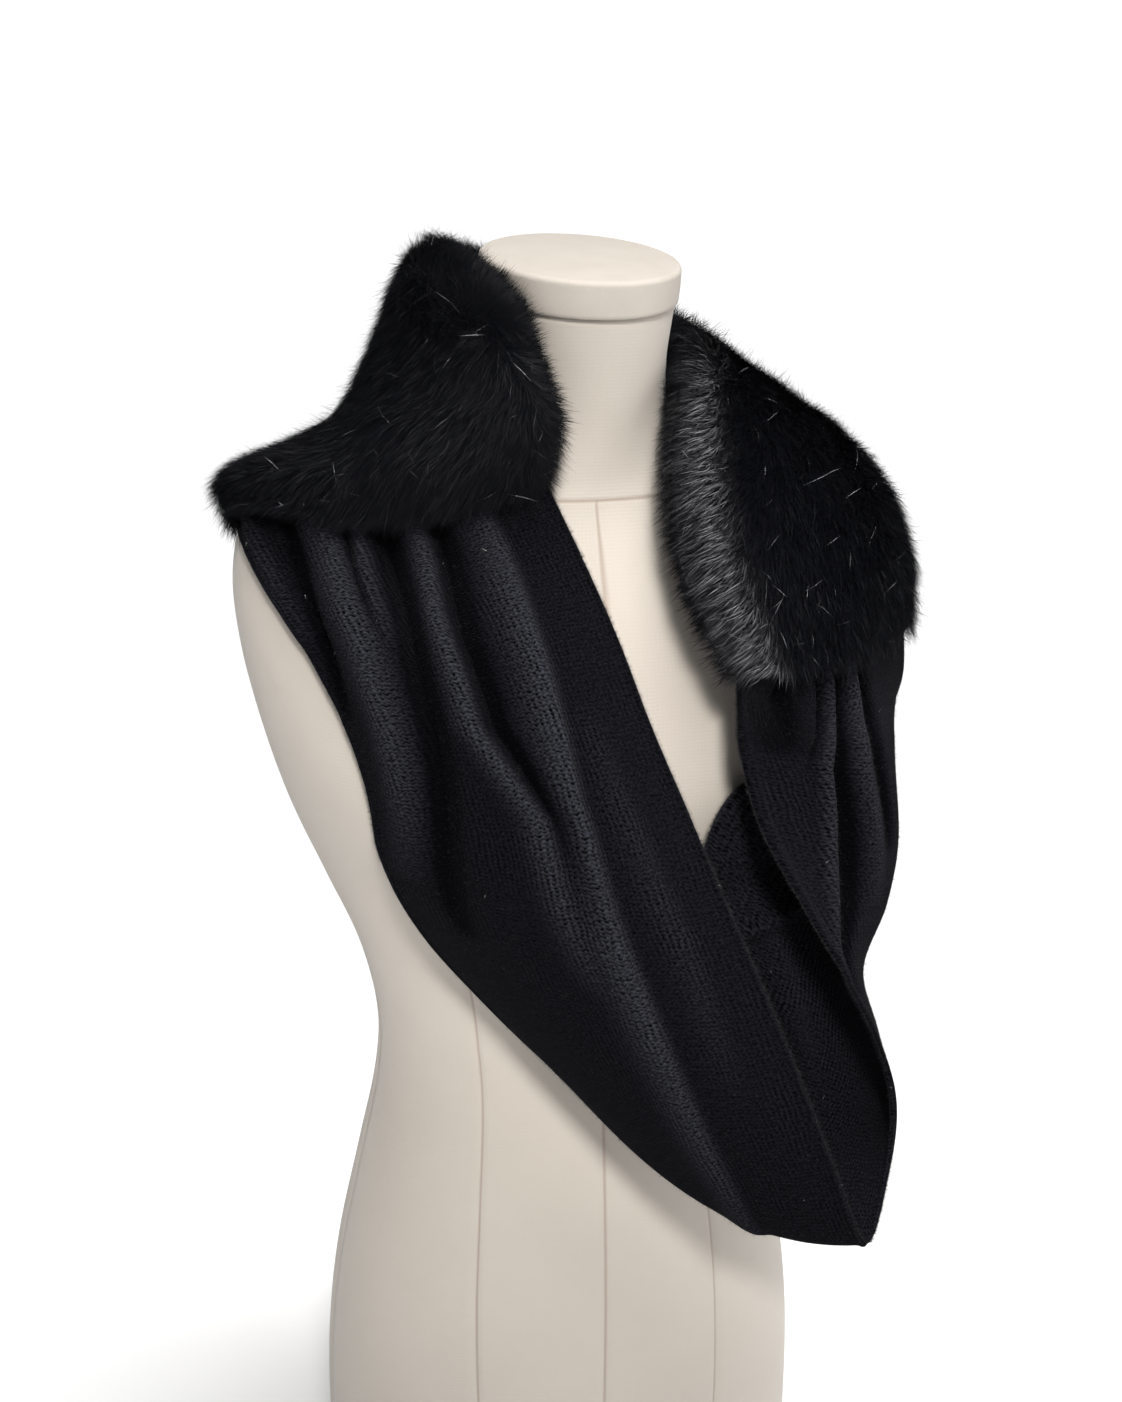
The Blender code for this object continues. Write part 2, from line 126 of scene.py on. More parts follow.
def grid_faces(rows, columns, closed=False, first=0):
    """Quads of a grid of points, which may close round its columns."""
    faces = []
    for i in range(rows - 1):
        for j in range(columns if closed else columns - 1):
            a, d = first + i * columns + j, first + (i + 1) * columns + j
            step = (j + 1) % columns - j
            faces.append((a, a + step, d + step, d))
    return faces


def cloth_piece(name, points, faces, material, uv=None):
    """A smooth mesh piece that rides on the part, with a UV map in metres of flat cloth."""
    mesh = bpy.data.meshes.new(name)
    mesh.from_pydata(np.asarray(points).tolist(), [], faces)
    mesh.shade_smooth()
    mesh.materials.append(material)
    if uv is not None:
        corners = np.empty(len(mesh.loops), int)
        mesh.loops.foreach_get("vertex_index", corners)
        mesh.uv_layers.new(name="flat").data.foreach_set("uv", np.asarray(uv)[corners].ravel())
    piece = bpy.data.objects.new(name, mesh)
    scene.collection.objects.link(piece)
    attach(piece, "root")
    return piece


def power(value, exponent):
    """The size of a value raised to an exponent, with the value's own sign."""
    return np.sign(value) * np.abs(value) ** exponent


def form_ring(row, turn, sunk):
    """Points of one ring of the form at the given turns from its front, sunk at its seams."""
    height, centre_y, half_width, front, back, squareness, tilt = row
    side, ahead = np.sin(turn), np.cos(turn)
    x = (half_width - sunk) * power(side, 2 / squareness)
    y = -(np.where(ahead > 0, front, back) - sunk) * power(ahead, 2 / squareness)
    near_bust = np.exp(-(((height - BUST_HEIGHT) / BUST_HEIGHT_SPREAD) ** 2))
    for mound in (BUST_ANGLE, 2 * math.pi - BUST_ANGLE):
        away = (turn - mound + math.pi) % (2 * math.pi) - math.pi
        out = BUST_PROJECTION * near_bust * np.exp(-((away / BUST_ANGLE_SPREAD) ** 2))
        x = x + out * math.sin(mound) * 0.4
        y = y - out
    tilt = math.radians(tilt)
    return np.column_stack([x, centre_y + y * math.cos(tilt), height + y * math.sin(tilt)])


# Where each vertical seam runs: its turn from the front, in degrees, at a few ring numbers. The
# neck above the torso has one seam only, at the back.
SEAM_RUNS = {
    "centre front": {0: -3, 7: -1, 17: 0, 20: 0},
    "front princess left": {0: 22, 7: 30, 10: 36, 13: 46, 15: 62, 16: 75, 20: 78},
    "front princess right": {0: -26, 7: -38, 10: -38, 13: -46, 15: -62, 16: -75, 20: -78},
    "side left": {0: 92, 7: 92, 13: 96, 15: 96, 20: 96},
    "side right": {0: -92, 7: -92, 13: -96, 15: -96, 20: -96},
    "back princess left": {0: 150, 7: 147, 13: 134, 15: 120, 20: 116},
    "back princess right": {0: -150, 7: -147, 13: -134, 15: -120, 20: -116},
    "centre back": {0: -180, 20: -180},
}
NECK_SEAM_RING = 16.0
NECK_ROOT_RADIUS = 0.075

# Linen, plain-woven from flax and left unbleached: a dull, slightly warm cloth. Its ribs and slubs
# break up the light a little, it has a faint sheen where it turns away, and its seams are darker.
linen, linen_shader = new_material("plain woven linen", Roughness=0.86, IOR=1.5)
linen_shader.inputs["Sheen Weight"].default_value = 0.18
linen_shader.inputs["Sheen Roughness"].default_value = 0.55
thread_place = add_node(linen, "ShaderNodeUVMap", settings={"uv_map": "flat"})
weave_waves = []
for direction, threads in (("X", LINEN_RIB * 0.8), ("Y", LINEN_RIB)):
    wave = add_node(
        linen,
        "ShaderNodeTexWave",
        {"Vector": thread_place.outputs["UV"]},
        {"wave_type": "BANDS", "bands_direction": direction, "wave_profile": "SIN"},
        {"Scale": math.pi / threads / 10, "Distortion": 3.5, "Detail": 4.0, "Detail Scale": 26.0},
    )
    weave_waves.append(wave)
weave = add_node(
    linen,
    "ShaderNodeMath",
    {0: weave_waves[0].outputs["Fac"], 2: weave_waves[1].outputs["Fac"]},
    {"operation": "MULTIPLY_ADD"},
    {1: 0.35},
)
# slubs of the yarn, about 2.4 mm apart
slubs = add_node(
    linen,
    "ShaderNodeTexNoise",
    {"Vector": thread_place.outputs["UV"]},
    None,
    {"Scale": 420.0, "Detail": 6.0},
)
linen_height = add_node(
    linen,
    "ShaderNodeMath",
    {0: slubs.outputs["Fac"], 2: weave.outputs[0]},
    {"operation": "MULTIPLY_ADD"},
    {1: 1.6},
)
linen_bump = add_node(
    linen,
    "ShaderNodeBump",
    {"Height": linen_height.outputs[0]},
    None,
    {"Strength": 0.22, "Distance": 0.0004},
)
# the cloth's tone changes a little in patches about 110 mm across
soiling = add_node(
    linen,
    "ShaderNodeTexNoise",
    {"Vector": thread_place.outputs["UV"]},
    None,
    {"Scale": 9.0, "Detail": 4.0},
)
linen_tone = add_node(
    linen,
    "ShaderNodeMix",
    {"Factor": soiling.outputs["Fac"]},
    {"data_type": "RGBA"},
    {6: linear(LINEN_COLOUR), 7: linear(LINEN_SHADE)},
)
in_seam = add_node(linen, "ShaderNodeAttribute", settings={"attribute_name": "in_seam"})
seamed_linen = add_node(
    linen,
    "ShaderNodeMix",
    {"Factor": in_seam.outputs["Fac"], 6: linen_tone.outputs[2]},
    {"data_type": "RGBA"},
    {7: linear(SEAM_COLOUR)},
)
linen.node_tree.links.new(seamed_linen.outputs[2], linen_shader.inputs["Base Color"])
linen.node_tree.links.new(linen_bump.outputs["Normal"], linen_shader.inputs["Normal"])

ring_numbers = [0, *np.linspace(1, 20, 19 * 10 + 1)]
ring_rows = through(FORM_RINGS, ring_numbers)
cover_points = []
cover_uv = []
cover_seams = []
for number, row in zip(ring_numbers, ring_rows):
    _, _, half_width, front, back, _, _ = row
    mean_radius = (half_width + (front + back) / 2) / 2
    seam_turns = sorted(
        math.radians(np.interp(number, list(run), list(run.values()))) for run in SEAM_RUNS.values()
    )
    seam_turns.append(seam_turns[0] + math.tau)
    beside = SEAM_HALF_WIDTH / mean_radius
    turns, sunk = [], []
    for left, right in zip(seam_turns, seam_turns[1:]):
        is_sewn = number < NECK_SEAM_RING or left == seam_turns[0]
        turns += [left, *np.linspace(left + beside, right - beside, COLUMNS_OF_PANEL)]
        sunk += [SEAM_DEPTH * is_sewn] + [0] * COLUMNS_OF_PANEL
    turns, sunk = np.array(turns), np.array(sunk)
    ring = form_ring(row, turns, sunk)
    cover_points.append(ring + FORM_AXIS)
    cover_uv.append(np.column_stack([mean_radius * turns, ring[:, 2]]))
    cover_seams.append(sunk / SEAM_DEPTH)
# the seam round the root of the neck is a shallow groove between two close rings of points
neck_row = int(np.argmin(np.abs(np.array(ring_numbers) - NECK_SEAM_RING)))
around = np.array(cover_points[neck_row])
centre_of_ring = around.mean(axis=0)
cover_points[neck_row] = around + (centre_of_ring - around) * (SEAM_DEPTH / NECK_ROOT_RADIUS)
cover_points = np.array(cover_points)
rows_of_cover, around_cover, _ = cover_points.shape
cover_faces = grid_faces(rows_of_cover, around_cover, closed=True)
cover_faces.append(tuple(reversed(range(around_cover))))
cover_faces.append(tuple(range((rows_of_cover - 1) * around_cover, rows_of_cover * around_cover)))
cover = cloth_piece(
    "form_cover",
    cover_points.reshape(-1, 3),
    cover_faces,
    linen,
    np.array(cover_uv).reshape(-1, 2),
)
cover_seams[neck_row][:] = 1
seam_shade = cover.data.attributes.new("in_seam", "FLOAT", "POINT")
seam_shade.data.foreach_set("value", np.concatenate(cover_seams).astype(np.float32))
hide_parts("form_body")

# The neck cap
# A round board with a padded edge is covered in bleached calico and set on the leaning neck, with
# the calico drawn tight over the edge and turned under.
CAP_RADIUS = 0.0552
CAP_THICKNESS = 0.021
CAP_EDGE_RADIUS = 0.003
CALICO_COLOUR = "#BDB6AD"
CALICO_SHADE = "#AFA79E"

# Calico, a plain-woven cotton, bleached and pulled tight over the board: paler than the linen, matt
# and fine in grain, with soft shallow creases.
calico, calico_shader = new_material("bleached calico", Roughness=0.8, IOR=1.5)
calico_grain = add_node(calico, "ShaderNodeTexCoord")
# real threads are 0.4 mm apart, drawn as a grain of about 1.1 mm so that it shows
calico_weave = add_node(
    calico,
    "ShaderNodeTexNoise",
    {"Vector": calico_grain.outputs["Object"]},
    None,
    {"Scale": 900.0, "Detail": 3.0},
)
# creases about 22 mm apart
calico_creases = add_node(
    calico,
    "ShaderNodeTexNoise",
    {"Vector": calico_grain.outputs["Object"]},
    None,
    {"Scale": 45.0, "Detail": 5.0},
)
calico_height = add_node(
    calico,
    "ShaderNodeMath",
    {0: calico_creases.outputs["Fac"], 2: calico_weave.outputs["Fac"]},
    {"operation": "MULTIPLY_ADD"},
    {1: 3.0},
)
calico_bump = add_node(
    calico,
    "ShaderNodeBump",
    {"Height": calico_height.outputs[0]},
    None,
    {"Strength": 0.25, "Distance": 0.0005},
)
calico_tone = add_node(
    calico,
    "ShaderNodeMix",
    {"Factor": calico_creases.outputs["Fac"]},
    {"data_type": "RGBA"},
    {6: linear(CALICO_COLOUR), 7: linear(CALICO_SHADE)},
)
calico.node_tree.links.new(calico_tone.outputs[2], calico_shader.inputs["Base Color"])
calico.node_tree.links.new(calico_bump.outputs["Normal"], calico_shader.inputs["Normal"])

lean = math.radians(FORM_RINGS[-1].tilt)
cap_up = np.array([0, -math.sin(lean), math.cos(lean)])
cap_ahead = np.array([0, -math.cos(lean), -math.sin(lean)])
cap_centre = FORM_AXIS + np.array([0, FORM_RINGS[-1].centre_y, FORM_RINGS[-1].height])
# the cap's outline, from its underside round its edge to the middle of its top: radius and height
cap_profile = [
    (CAP_RADIUS - 0.004, 0.0006),
    (CAP_RADIUS - 0.0012, 0.0008),
    (CAP_RADIUS - 0.0002, 0.0018),
    (CAP_RADIUS, 0.0035),
    (CAP_RADIUS + 0.0002, 0.010),
    (CAP_RADIUS, CAP_THICKNESS - 0.004),
]
for step in range(7):
    bend = math.radians(step * 15)
    cap_profile.append(
        (
            CAP_RADIUS - CAP_EDGE_RADIUS * (1 - math.cos(bend)),
            CAP_THICKNESS - CAP_EDGE_RADIUS * (1 - math.sin(bend)),
        )
    )
cap_profile += [
    (0.040, CAP_THICKNESS + 0.0001),
    (0.020, CAP_THICKNESS + 0.0002),
    (0.004, CAP_THICKNESS + 0.0002),
]
cap_turns = np.radians(np.arange(0, 360, 3.0))
cap_points = []
for radius, height in cap_profile:
    across = np.sin(cap_turns)[:, None] * np.array([1.0, 0, 0]) + np.cos(cap_turns)[:, None] * cap_ahead
    cap_points.append(cap_centre + radius * across + height * cap_up)
cap_faces = grid_faces(len(cap_profile), len(cap_turns), closed=True)
cap_faces.append(tuple(reversed(range(len(cap_turns)))))
cap_faces.append(tuple(range((len(cap_profile) - 1) * len(cap_turns), len(cap_profile) * len(cap_turns))))
cap = cloth_piece("neck_cap_cover", np.vstack(cap_points), cap_faces, calico)
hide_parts("form_neck_cap")

# The knitted band
# One strip of black wool stockinette, plain on its long edges, which roll by themselves. It falls
# from the right shoulder to the tip of the cowl and rises to the left breast, gathered at both ends.
# Each section gives the band's inner and outer edge and how far its middle bulges from the line
# between them.
Section = namedtuple("Section", "inner outer bulge")
KNIT_SECTIONS = [
    Section((-0.032, -0.073, 0.646), (-0.188, -0.004, 0.622), (0.000, -0.022, -0.010)),
    Section((-0.018, -0.094, 0.606), (-0.177, -0.042, 0.590), (-0.004, -0.026, -0.004)),
    Section((-0.006, -0.117, 0.566), (-0.160, -0.070, 0.557), (-0.008, -0.028, 0.000)),
    Section((0.006, -0.135, 0.523), (-0.145, -0.088, 0.520), (-0.010, -0.030, 0.000)),
    Section((0.022, -0.150, 0.478), (-0.136, -0.098, 0.484), (-0.012, -0.030, 0.000)),
    Section((0.038, -0.164, 0.432), (-0.128, -0.094, 0.446), (-0.014, -0.030, -0.002)),
    Section((0.056, -0.174, 0.386), (-0.108, -0.092, 0.408), (-0.014, -0.028, -0.006)),
    Section((0.074, -0.183, 0.338), (-0.080, -0.098, 0.373), (-0.014, -0.024, -0.012)),
    Section((0.092, -0.190, 0.288), (-0.048, -0.108, 0.338), (-0.012, -0.018, -0.018)),
    Section((0.112, -0.194, 0.240), (-0.018, -0.120, 0.310), (-0.004, -0.006, -0.022)),
    Section((0.129, -0.184, 0.274), (-0.008, -0.122, 0.334), (0.021, 0.003, -0.027)),
    Section((0.131, -0.181, 0.316), (0.004, -0.125, 0.368), (0.044, 0.008, -0.029)),
    Section((0.116, -0.183, 0.357), (0.018, -0.127, 0.404), (0.049, 0.011, -0.027)),
    Section((0.097, -0.180, 0.394), (0.034, -0.129, 0.440), (0.054, 0.014, -0.032)),
    Section((0.077, -0.172, 0.431), (0.052, -0.130, 0.480), (0.081, 0.018, -0.040)),
    Section((0.059, -0.158, 0.470), (0.090, -0.128, 0.500), (0.076, 0.006, -0.034)),
    Section((0.051, -0.147, 0.508), (0.150, -0.100, 0.505), (0.040, -0.010, -0.012)),
    Section((0.051, -0.142, 0.530), (0.184, -0.070, 0.524), (0.010, -0.018, -0.010)),
    Section((0.052, -0.138, 0.549), (0.195, -0.050, 0.555), (-0.005, -0.016, -0.010)),
]
COWL_TIP = 9
# A fold runs along a path of (section, share of the width) and rises, or sinks, by its height.
Fold = namedtuple("Fold", "path inner_width outer_width height")
KNIT_FOLDS = [
    Fold(
        ((-1.5, 0.235), (0.6, 0.245), (2.2, 0.285), (3.7, 0.34), (5.1, 0.34), (9.3, 0.38)),
        0.030, 0.070, 0.0100,
    ),
    Fold(
        ((-1.5, 0.36), (0.6, 0.40), (1.7, 0.465), (2.8, 0.485), (3.9, 0.39), (5.4, 0.36)),
        0.040, 0.040, -0.0085,
    ),
    Fold(
        ((-1.5, 0.43), (0.3, 0.45), (1.4, 0.52), (2.8, 0.555), (3.9, 0.46), (6.0, 0.45)),
        0.030, 0.050, 0.0090,
    ),
    Fold(
        ((-1.5, 0.54), (0.3, 0.555), (1.1, 0.59), (2.2, 0.67), (4.2, 0.77), (5.6, 0.80)),
        0.045, 0.035, -0.0105,
    ),
    Fold(((-1.5, 0.61), (0.0, 0.62), (0.6, 0.655), (1.8, 0.70)), 0.018, 0.018, 0.0055),
    Fold(((-1.5, 0.655), (0.0, 0.665), (0.6, 0.70), (1.6, 0.73)), 0.014, 0.014, -0.0055),
    Fold(((-1.5, 0.70), (0.3, 0.73), (1.1, 0.765), (2.2, 0.81), (5.0, 0.91)), 0.060, 0.060, 0.0090),
    Fold(((-1.5, 0.80), (0.3, 0.83), (1.4, 0.90), (2.8, 0.97)), 0.022, 0.022, -0.0080),
    Fold(((-1.5, 0.93), (0.0, 0.935), (1.8, 0.975)), 0.030, 0.030, 0.0040),
    Fold(((2.6, 0.19), (3.7, 0.20), (5.3, 0.17), (7.2, 0.20)), 0.040, 0.050, 0.0025),
    Fold(
        ((12.4, 0.04), (13.2, 0.07), (15.0, 0.20), (15.9, 0.27), (17.7, 0.50), (19.8, 0.62)),
        0.022, 0.035, -0.0085,
    ),
    Fold(((12.8, 0.0), (15.0, 0.145), (15.9, 0.215), (17.7, 0.445), (19.8, 0.57)), 0.020, 0.022, 0.0055),
    Fold(((15.8, 0.15), (16.8, 0.29), (17.7, 0.40), (19.8, 0.53)), 0.014, 0.014, -0.0040),
    Fold(((14.0, 0.24), (15.9, 0.36), (17.7, 0.58), (19.8, 0.69)), 0.045, 0.045, 0.0060),
    Fold(((14.8, 0.36), (16.0, 0.48), (17.0, 0.60), (19.8, 0.76)), 0.035, 0.035, -0.0060),
    Fold(((16.0, 0.10), (17.4, 0.16), (20.0, 0.22)), 0.070, 0.070, -0.0050),
    Fold(((11.9, 0.93), (12.5, 0.86), (13.0, 0.79), (14.6, 0.62)), 0.030, 0.030, -0.0075),
    Fold(((12.4, 0.99), (13.1, 0.90), (13.9, 0.82), (15.2, 0.74)), 0.050, 0.040, 0.0060),
    Fold(((10.9, 0.58), (12.0, 0.72), (12.8, 0.80)), 0.050, 0.050, -0.0060),
    Fold(((10.4, 0.75), (11.3, 0.80), (12.2, 0.88)), 0.050, 0.050, 0.0060),
]
KNIT_THICKNESS = 0.0022
CLOTH_GAP = 0.0035
KNIT_CUT_WIDTH = 0.220
KNIT_CUT_LENGTH = 0.740
ROLLED_EDGE_HEIGHT = 0.0011
ROLLED_EDGE_WIDTH = 0.0045
ROLLED_EDGE_PLACE = 0.0026
WALE_SPACING = 0.0034  # a real wale is about 2.5 mm, drawn a third coarser so that it shows
COURSE_SPACING = 0.0020  # close to that of a real course
LIGHT_OF_LEVEL_KNIT = 0.18  # how pale the right side is painted, from 0 to 1, where no fold lifts it
LIFT_TO_FULL_LIGHT = 0.0105
WRONG_SIDE_PAINTED_LIGHT = 0.42  # painted light: how pale the wrong side is painted all over
SEAM_ALLOWANCE = 0.009
SEAM_ROWS = 3
FALL_ROWS, RISE_ROWS, KNIT_COLUMNS = 250, 230, 130
GATHER_PLEATS = 34
GATHER_PLEAT_WIDTH = 0.008
FUZZ_FIBRES = 45000
FUZZ_SHARE_AT_EDGES = 0.16
FUZZ_SHARE_ON_RIGHT_SIDE = 0.72
FUZZ_LINT_SHARE = 0.0004


def unit(vectors):
    """The vectors, each scaled to a length of one."""
    return vectors / np.maximum(np.linalg.norm(vectors, axis=-1, keepdims=True), 1e-9)


def normals_of(points):
    """Unit normals of a grid of points, on the side that the cloth shows outside."""
    return unit(np.cross(np.gradient(points, axis=1), np.gradient(points, axis=0)))


form_corners = cover_points.reshape(-1, 3).tolist() + np.vstack(cap_points).tolist()
form_quads = cover_faces[:-2] + [tuple(v + cover_points.size // 3 for v in f) for f in cap_faces[:-2]]
form_surface = BVHTree.FromPolygons(form_corners, form_quads)


def clear_of_form(points, gap):
    """The points, those inside the form or nearer to it than gap moved out to that gap."""
    gaps = np.broadcast_to(gap, points.shape[:-1])
    moved = points.copy()
    for index in np.ndindex(points.shape[:-1]):
        point = Vector(points[index])
        spot, normal, _, distance = form_surface.find_nearest(point)
        if (point - spot).dot(normal) < 0:
            moved[index] = spot + normal * gaps[index]
        elif distance < gaps[index]:
            moved[index] = spot + (point - spot + normal * 1e-6).normalized() * gaps[index]
    return moved


def fold_height(along, across):
    """How far the folds lift the band at a place along it, in sections, and across it."""
    lift = np.zeros(np.broadcast(along, across).shape)
    for fold in KNIT_FOLDS:
        sections, middles = np.array(fold.path).T
        share = np.clip((along - sections[0]) / (sections[-1] - sections[0]), 0, 1)
        beyond = across - np.interp(along, sections, middles)
        width = np.where(beyond < 0, fold.inner_width, fold.outer_width)
        lift += fold.height * np.sin(math.pi * share) ** 0.6 * np.exp(-((beyond / width) ** 2))
    return lift


def gather_height(along, across, seam):
    """The small pleats where the band is gathered into a seam: close, uneven and short."""
    lift = np.zeros(np.broadcast(along, across).shape)
    pleats = np.random.default_rng(11 + seam)
    middles = np.linspace(0.02, 0.98, GATHER_PLEATS) + pleats.normal(0, 0.006, GATHER_PLEATS)
    for middle in middles:
        reach = pleats.uniform(0.3, 1.1)
        height = pleats.uniform(0.0005, 0.0014)
        fade = np.clip(1 - np.abs(along - seam) / reach, 0, 1) ** 2
        lift += height * fade * np.exp(-(((across - middle) / GATHER_PLEAT_WIDTH) ** 2))
    return lift


last_section = len(KNIT_SECTIONS) - 1
band_along = np.concatenate(
    [np.linspace(0, COWL_TIP, FALL_ROWS), np.linspace(COWL_TIP, last_section, RISE_ROWS)[1:]]
)
# the columns lie closer together at both edges, where the cloth rolls
edge_share = (1 - np.cos(np.linspace(0, math.pi, KNIT_COLUMNS))) / 2
band_across = 0.45 * edge_share + 0.55 * np.linspace(0, 1, KNIT_COLUMNS)
band_inner = through([s.inner for s in KNIT_SECTIONS], band_along)[:, None]
band_outer = through([s.outer for s in KNIT_SECTIONS], band_along)[:, None]
band_bulge = through([s.bulge for s in KNIT_SECTIONS], band_along)[:, None]
share = band_across[None, :, None]
flat_band = band_inner * (1 - share) + band_outer * share + 4 * share * (1 - share) * band_bulge
flat_band = clear_of_form(flat_band + FORM_AXIS, CLOTH_GAP + 0.0016)
# the bare shape is relaxed before the folds are laid on it
for _ in range(6):
    mean = (flat_band[:-2, 1:-1] + flat_band[2:, 1:-1] + flat_band[1:-1, :-2] + flat_band[1:-1, 2:]) / 4
    flat_band[1:-1, 1:-1] = (flat_band[1:-1, 1:-1] + mean) / 2
band_lift = fold_height(band_along[:, None], band_across[None, :])
band_lift += gather_height(band_along[:, None], band_across[None, :], 0)
band_lift += gather_height(band_along[:, None], band_across[None, :], last_section)
band = flat_band + normals_of(flat_band) * band_lift[:, :, None]
band = clear_of_form(band, CLOTH_GAP - 0.0014)
# beyond both gathered ends the band runs on under the fur as its seam allowance
for end, next_in in ((0, 1), (-1, -2)):
    away = unit(flat_band[end] - flat_band[next_in])
    tucked = [band[end] + away * SEAM_ALLOWANCE * (row + 1) / SEAM_ROWS for row in range(SEAM_ROWS)]
    tucked = clear_of_form(np.array(tucked), CLOTH_GAP - 0.0016)
    band = np.concatenate([tucked[::-1], band]) if end == 0 else np.concatenate([band, tucked])
band_normals = normals_of(band)
# painted light and shade: paler where the folds stand proud, darker in the valleys between them
padded_lift = np.pad(band_lift, ((SEAM_ROWS, SEAM_ROWS), (0, 0)), mode="edge")
fold_light_and_shade_share = np.clip(LIGHT_OF_LEVEL_KNIT + padded_lift / LIFT_TO_FULL_LIGHT, 0, 1)
band_width = np.linalg.norm(np.diff(band, axis=1), axis=2).sum(axis=1)[:, None]
from_edge = np.minimum(band_across, 1 - band_across)[None, :] * band_width
roll = ROLLED_EDGE_HEIGHT * np.exp(
    -(((from_edge - ROLLED_EDGE_PLACE) / (ROLLED_EDGE_WIDTH / 2)) ** 2)
)
edge_reach = np.clip(from_edge / KNIT_THICKNESS, 0, 1)
rounded = np.sqrt(edge_reach * (2 - edge_reach))
half_thickness = (KNIT_THICKNESS / 2 + roll) * rounded
length_along = np.concatenate(
    [[0], np.linalg.norm(np.diff(band, axis=0), axis=2).mean(axis=1).cumsum()]
)
length_along *= KNIT_CUT_LENGTH / length_along[-1]

# Stockinette, knitted from black wool and brushed: a soft, dull black. Its wales and courses show as
# rows of small uneven legs. Its colour is painted greyer where the folds stand up and nearly black in
# the valleys, as painted light and shade on the folds, and painted shade darkens it between stitches.
wool, wool_shader = new_material("black wool stockinette", Roughness=0.92, IOR=1.45)
wool_shader.inputs["Sheen Weight"].default_value = 0.04
wool_shader.inputs["Sheen Roughness"].default_value = 0.45
wool_shader.inputs["Sheen Tint"].default_value = linear("#8E8C98")
wool_shader.inputs["Specular IOR Level"].default_value = 0.02
stitch_place = add_node(wool, "ShaderNodeUVMap", settings={"uv_map": "flat"})
# the wales wander from side to side over about 14 mm
stitch_wander = add_node(
    wool,
    "ShaderNodeTexNoise",
    {"Vector": stitch_place.outputs["UV"]},
    None,
    {"Scale": 70.0, "Detail": 3.0},
)
stitch_axes = add_node(wool, "ShaderNodeSeparateXYZ", {"Vector": stitch_place.outputs["UV"]})
wandered = add_node(
    wool,
    "ShaderNodeMath",
    {0: stitch_wander.outputs["Fac"], 2: stitch_axes.outputs["X"]},
    {"operation": "MULTIPLY_ADD"},
    {1: 0.0052},
)
in_wales = add_node(
    wool,
    "ShaderNodeMath",
    {0: wandered.outputs[0]},
    {"operation": "DIVIDE"},
    {1: WALE_SPACING},
)
wale_place = add_node(wool, "ShaderNodeMath", {0: in_wales.outputs[0]}, {"operation": "FRACT"})
from_wale_middle = add_node(
    wool,
    "ShaderNodeMath",
    {0: wale_place.outputs[0]},
    {"operation": "SUBTRACT"},
    {1: 0.5},
)
leg = add_node(wool, "ShaderNodeMath", {0: from_wale_middle.outputs[0]}, {"operation": "ABSOLUTE"})
in_courses = add_node(
    wool,
    "ShaderNodeMath",
    {0: stitch_axes.outputs["Y"]},
    {"operation": "DIVIDE"},
    {1: COURSE_SPACING},
)
# the stitches are pulled up and down unevenly over about 13 mm
uneven_pull = add_node(
    wool,
    "ShaderNodeTexNoise",
    {"Vector": stitch_place.outputs["UV"]},
    None,
    {"Scale": 75.0, "Detail": 2.0},
)
pulled_courses = add_node(
    wool,
    "ShaderNodeMath",
    {0: uneven_pull.outputs["Fac"], 2: in_courses.outputs[0]},
    {"operation": "MULTIPLY_ADD"},
    {1: 1.9},
)
stitch_phase = add_node(
    wool,
    "ShaderNodeMath",
    {0: leg.outputs[0], 2: pulled_courses.outputs[0]},
    {"operation": "MULTIPLY_ADD"},
    {1: -1.0},
)
stitch_turn = add_node(
    wool,
    "ShaderNodeMath",
    {0: stitch_phase.outputs[0]},
    {"operation": "MULTIPLY"},
    {1: math.tau},
)
stitch_wave = add_node(wool, "ShaderNodeMath", {0: stitch_turn.outputs[0]}, {"operation": "SINE"})
wale_turn = add_node(
    wool,
    "ShaderNodeMath",
    {0: in_wales.outputs[0]},
    {"operation": "MULTIPLY"},
    {1: math.tau},
)
wale_wave = add_node(wool, "ShaderNodeMath", {0: wale_turn.outputs[0]}, {"operation": "COSINE"})
# the wales are felted flat in some patches about 40 mm across and stand up in others
felting = add_node(
    wool,
    "ShaderNodeTexNoise",
    {"Vector": stitch_place.outputs["UV"]},
    None,
    {"Scale": 24.0, "Detail": 2.0},
)
wale_relief = add_node(
    wool,
    "ShaderNodeMapRange",
    {"Value": felting.outputs["Fac"]},
    None,
    {"From Min": 0.38, "From Max": 0.66, "To Min": -0.1, "To Max": -1.25},
)
stitch_height = add_node(
    wool,
    "ShaderNodeMath",
    {0: wale_wave.outputs[0], 1: wale_relief.outputs["Result"], 2: stitch_wave.outputs[0]},
    {"operation": "MULTIPLY_ADD"},
)
# the brushed surface of the yarn, in tufts of about 2 mm
yarn_fuzz = add_node(
    wool,
    "ShaderNodeTexNoise",
    {"Vector": stitch_place.outputs["UV"]},
    None,
    {"Scale": 520.0, "Detail": 6.0, "Roughness": 0.62},
)
knit_height = add_node(
    wool,
    "ShaderNodeMath",
    {0: yarn_fuzz.outputs["Fac"], 2: stitch_height.outputs[0]},
    {"operation": "MULTIPLY_ADD"},
    {1: 12.0},
)
knit_bump = add_node(
    wool,
    "ShaderNodeBump",
    {"Height": knit_height.outputs[0]},
    None,
    {"Strength": 0.62, "Distance": 0.0004},
)
# painted shade: the colour goes nearly black where the stitch and fuzz relief is low, between stitches
stitch_light = add_node(
    wool,
    "ShaderNodeMapRange",
    {"Value": knit_height.outputs[0]},
    None,
    {"From Min": 3.8, "From Max": 8.9},
)
# painted light and shade on the folds: the tone is paler on the raised folds, darker in the valleys
fold_light_and_shade = add_node(wool, "ShaderNodeAttribute", settings={"attribute_name": "fold_light_and_shade"})
fold_light_and_shade_tone = add_node(
    wool,
    "ShaderNodeMix",
    {"Factor": fold_light_and_shade.outputs["Fac"]},
    {"data_type": "RGBA"},
    {6: linear("#060609"), 7: linear("#383940")},
)
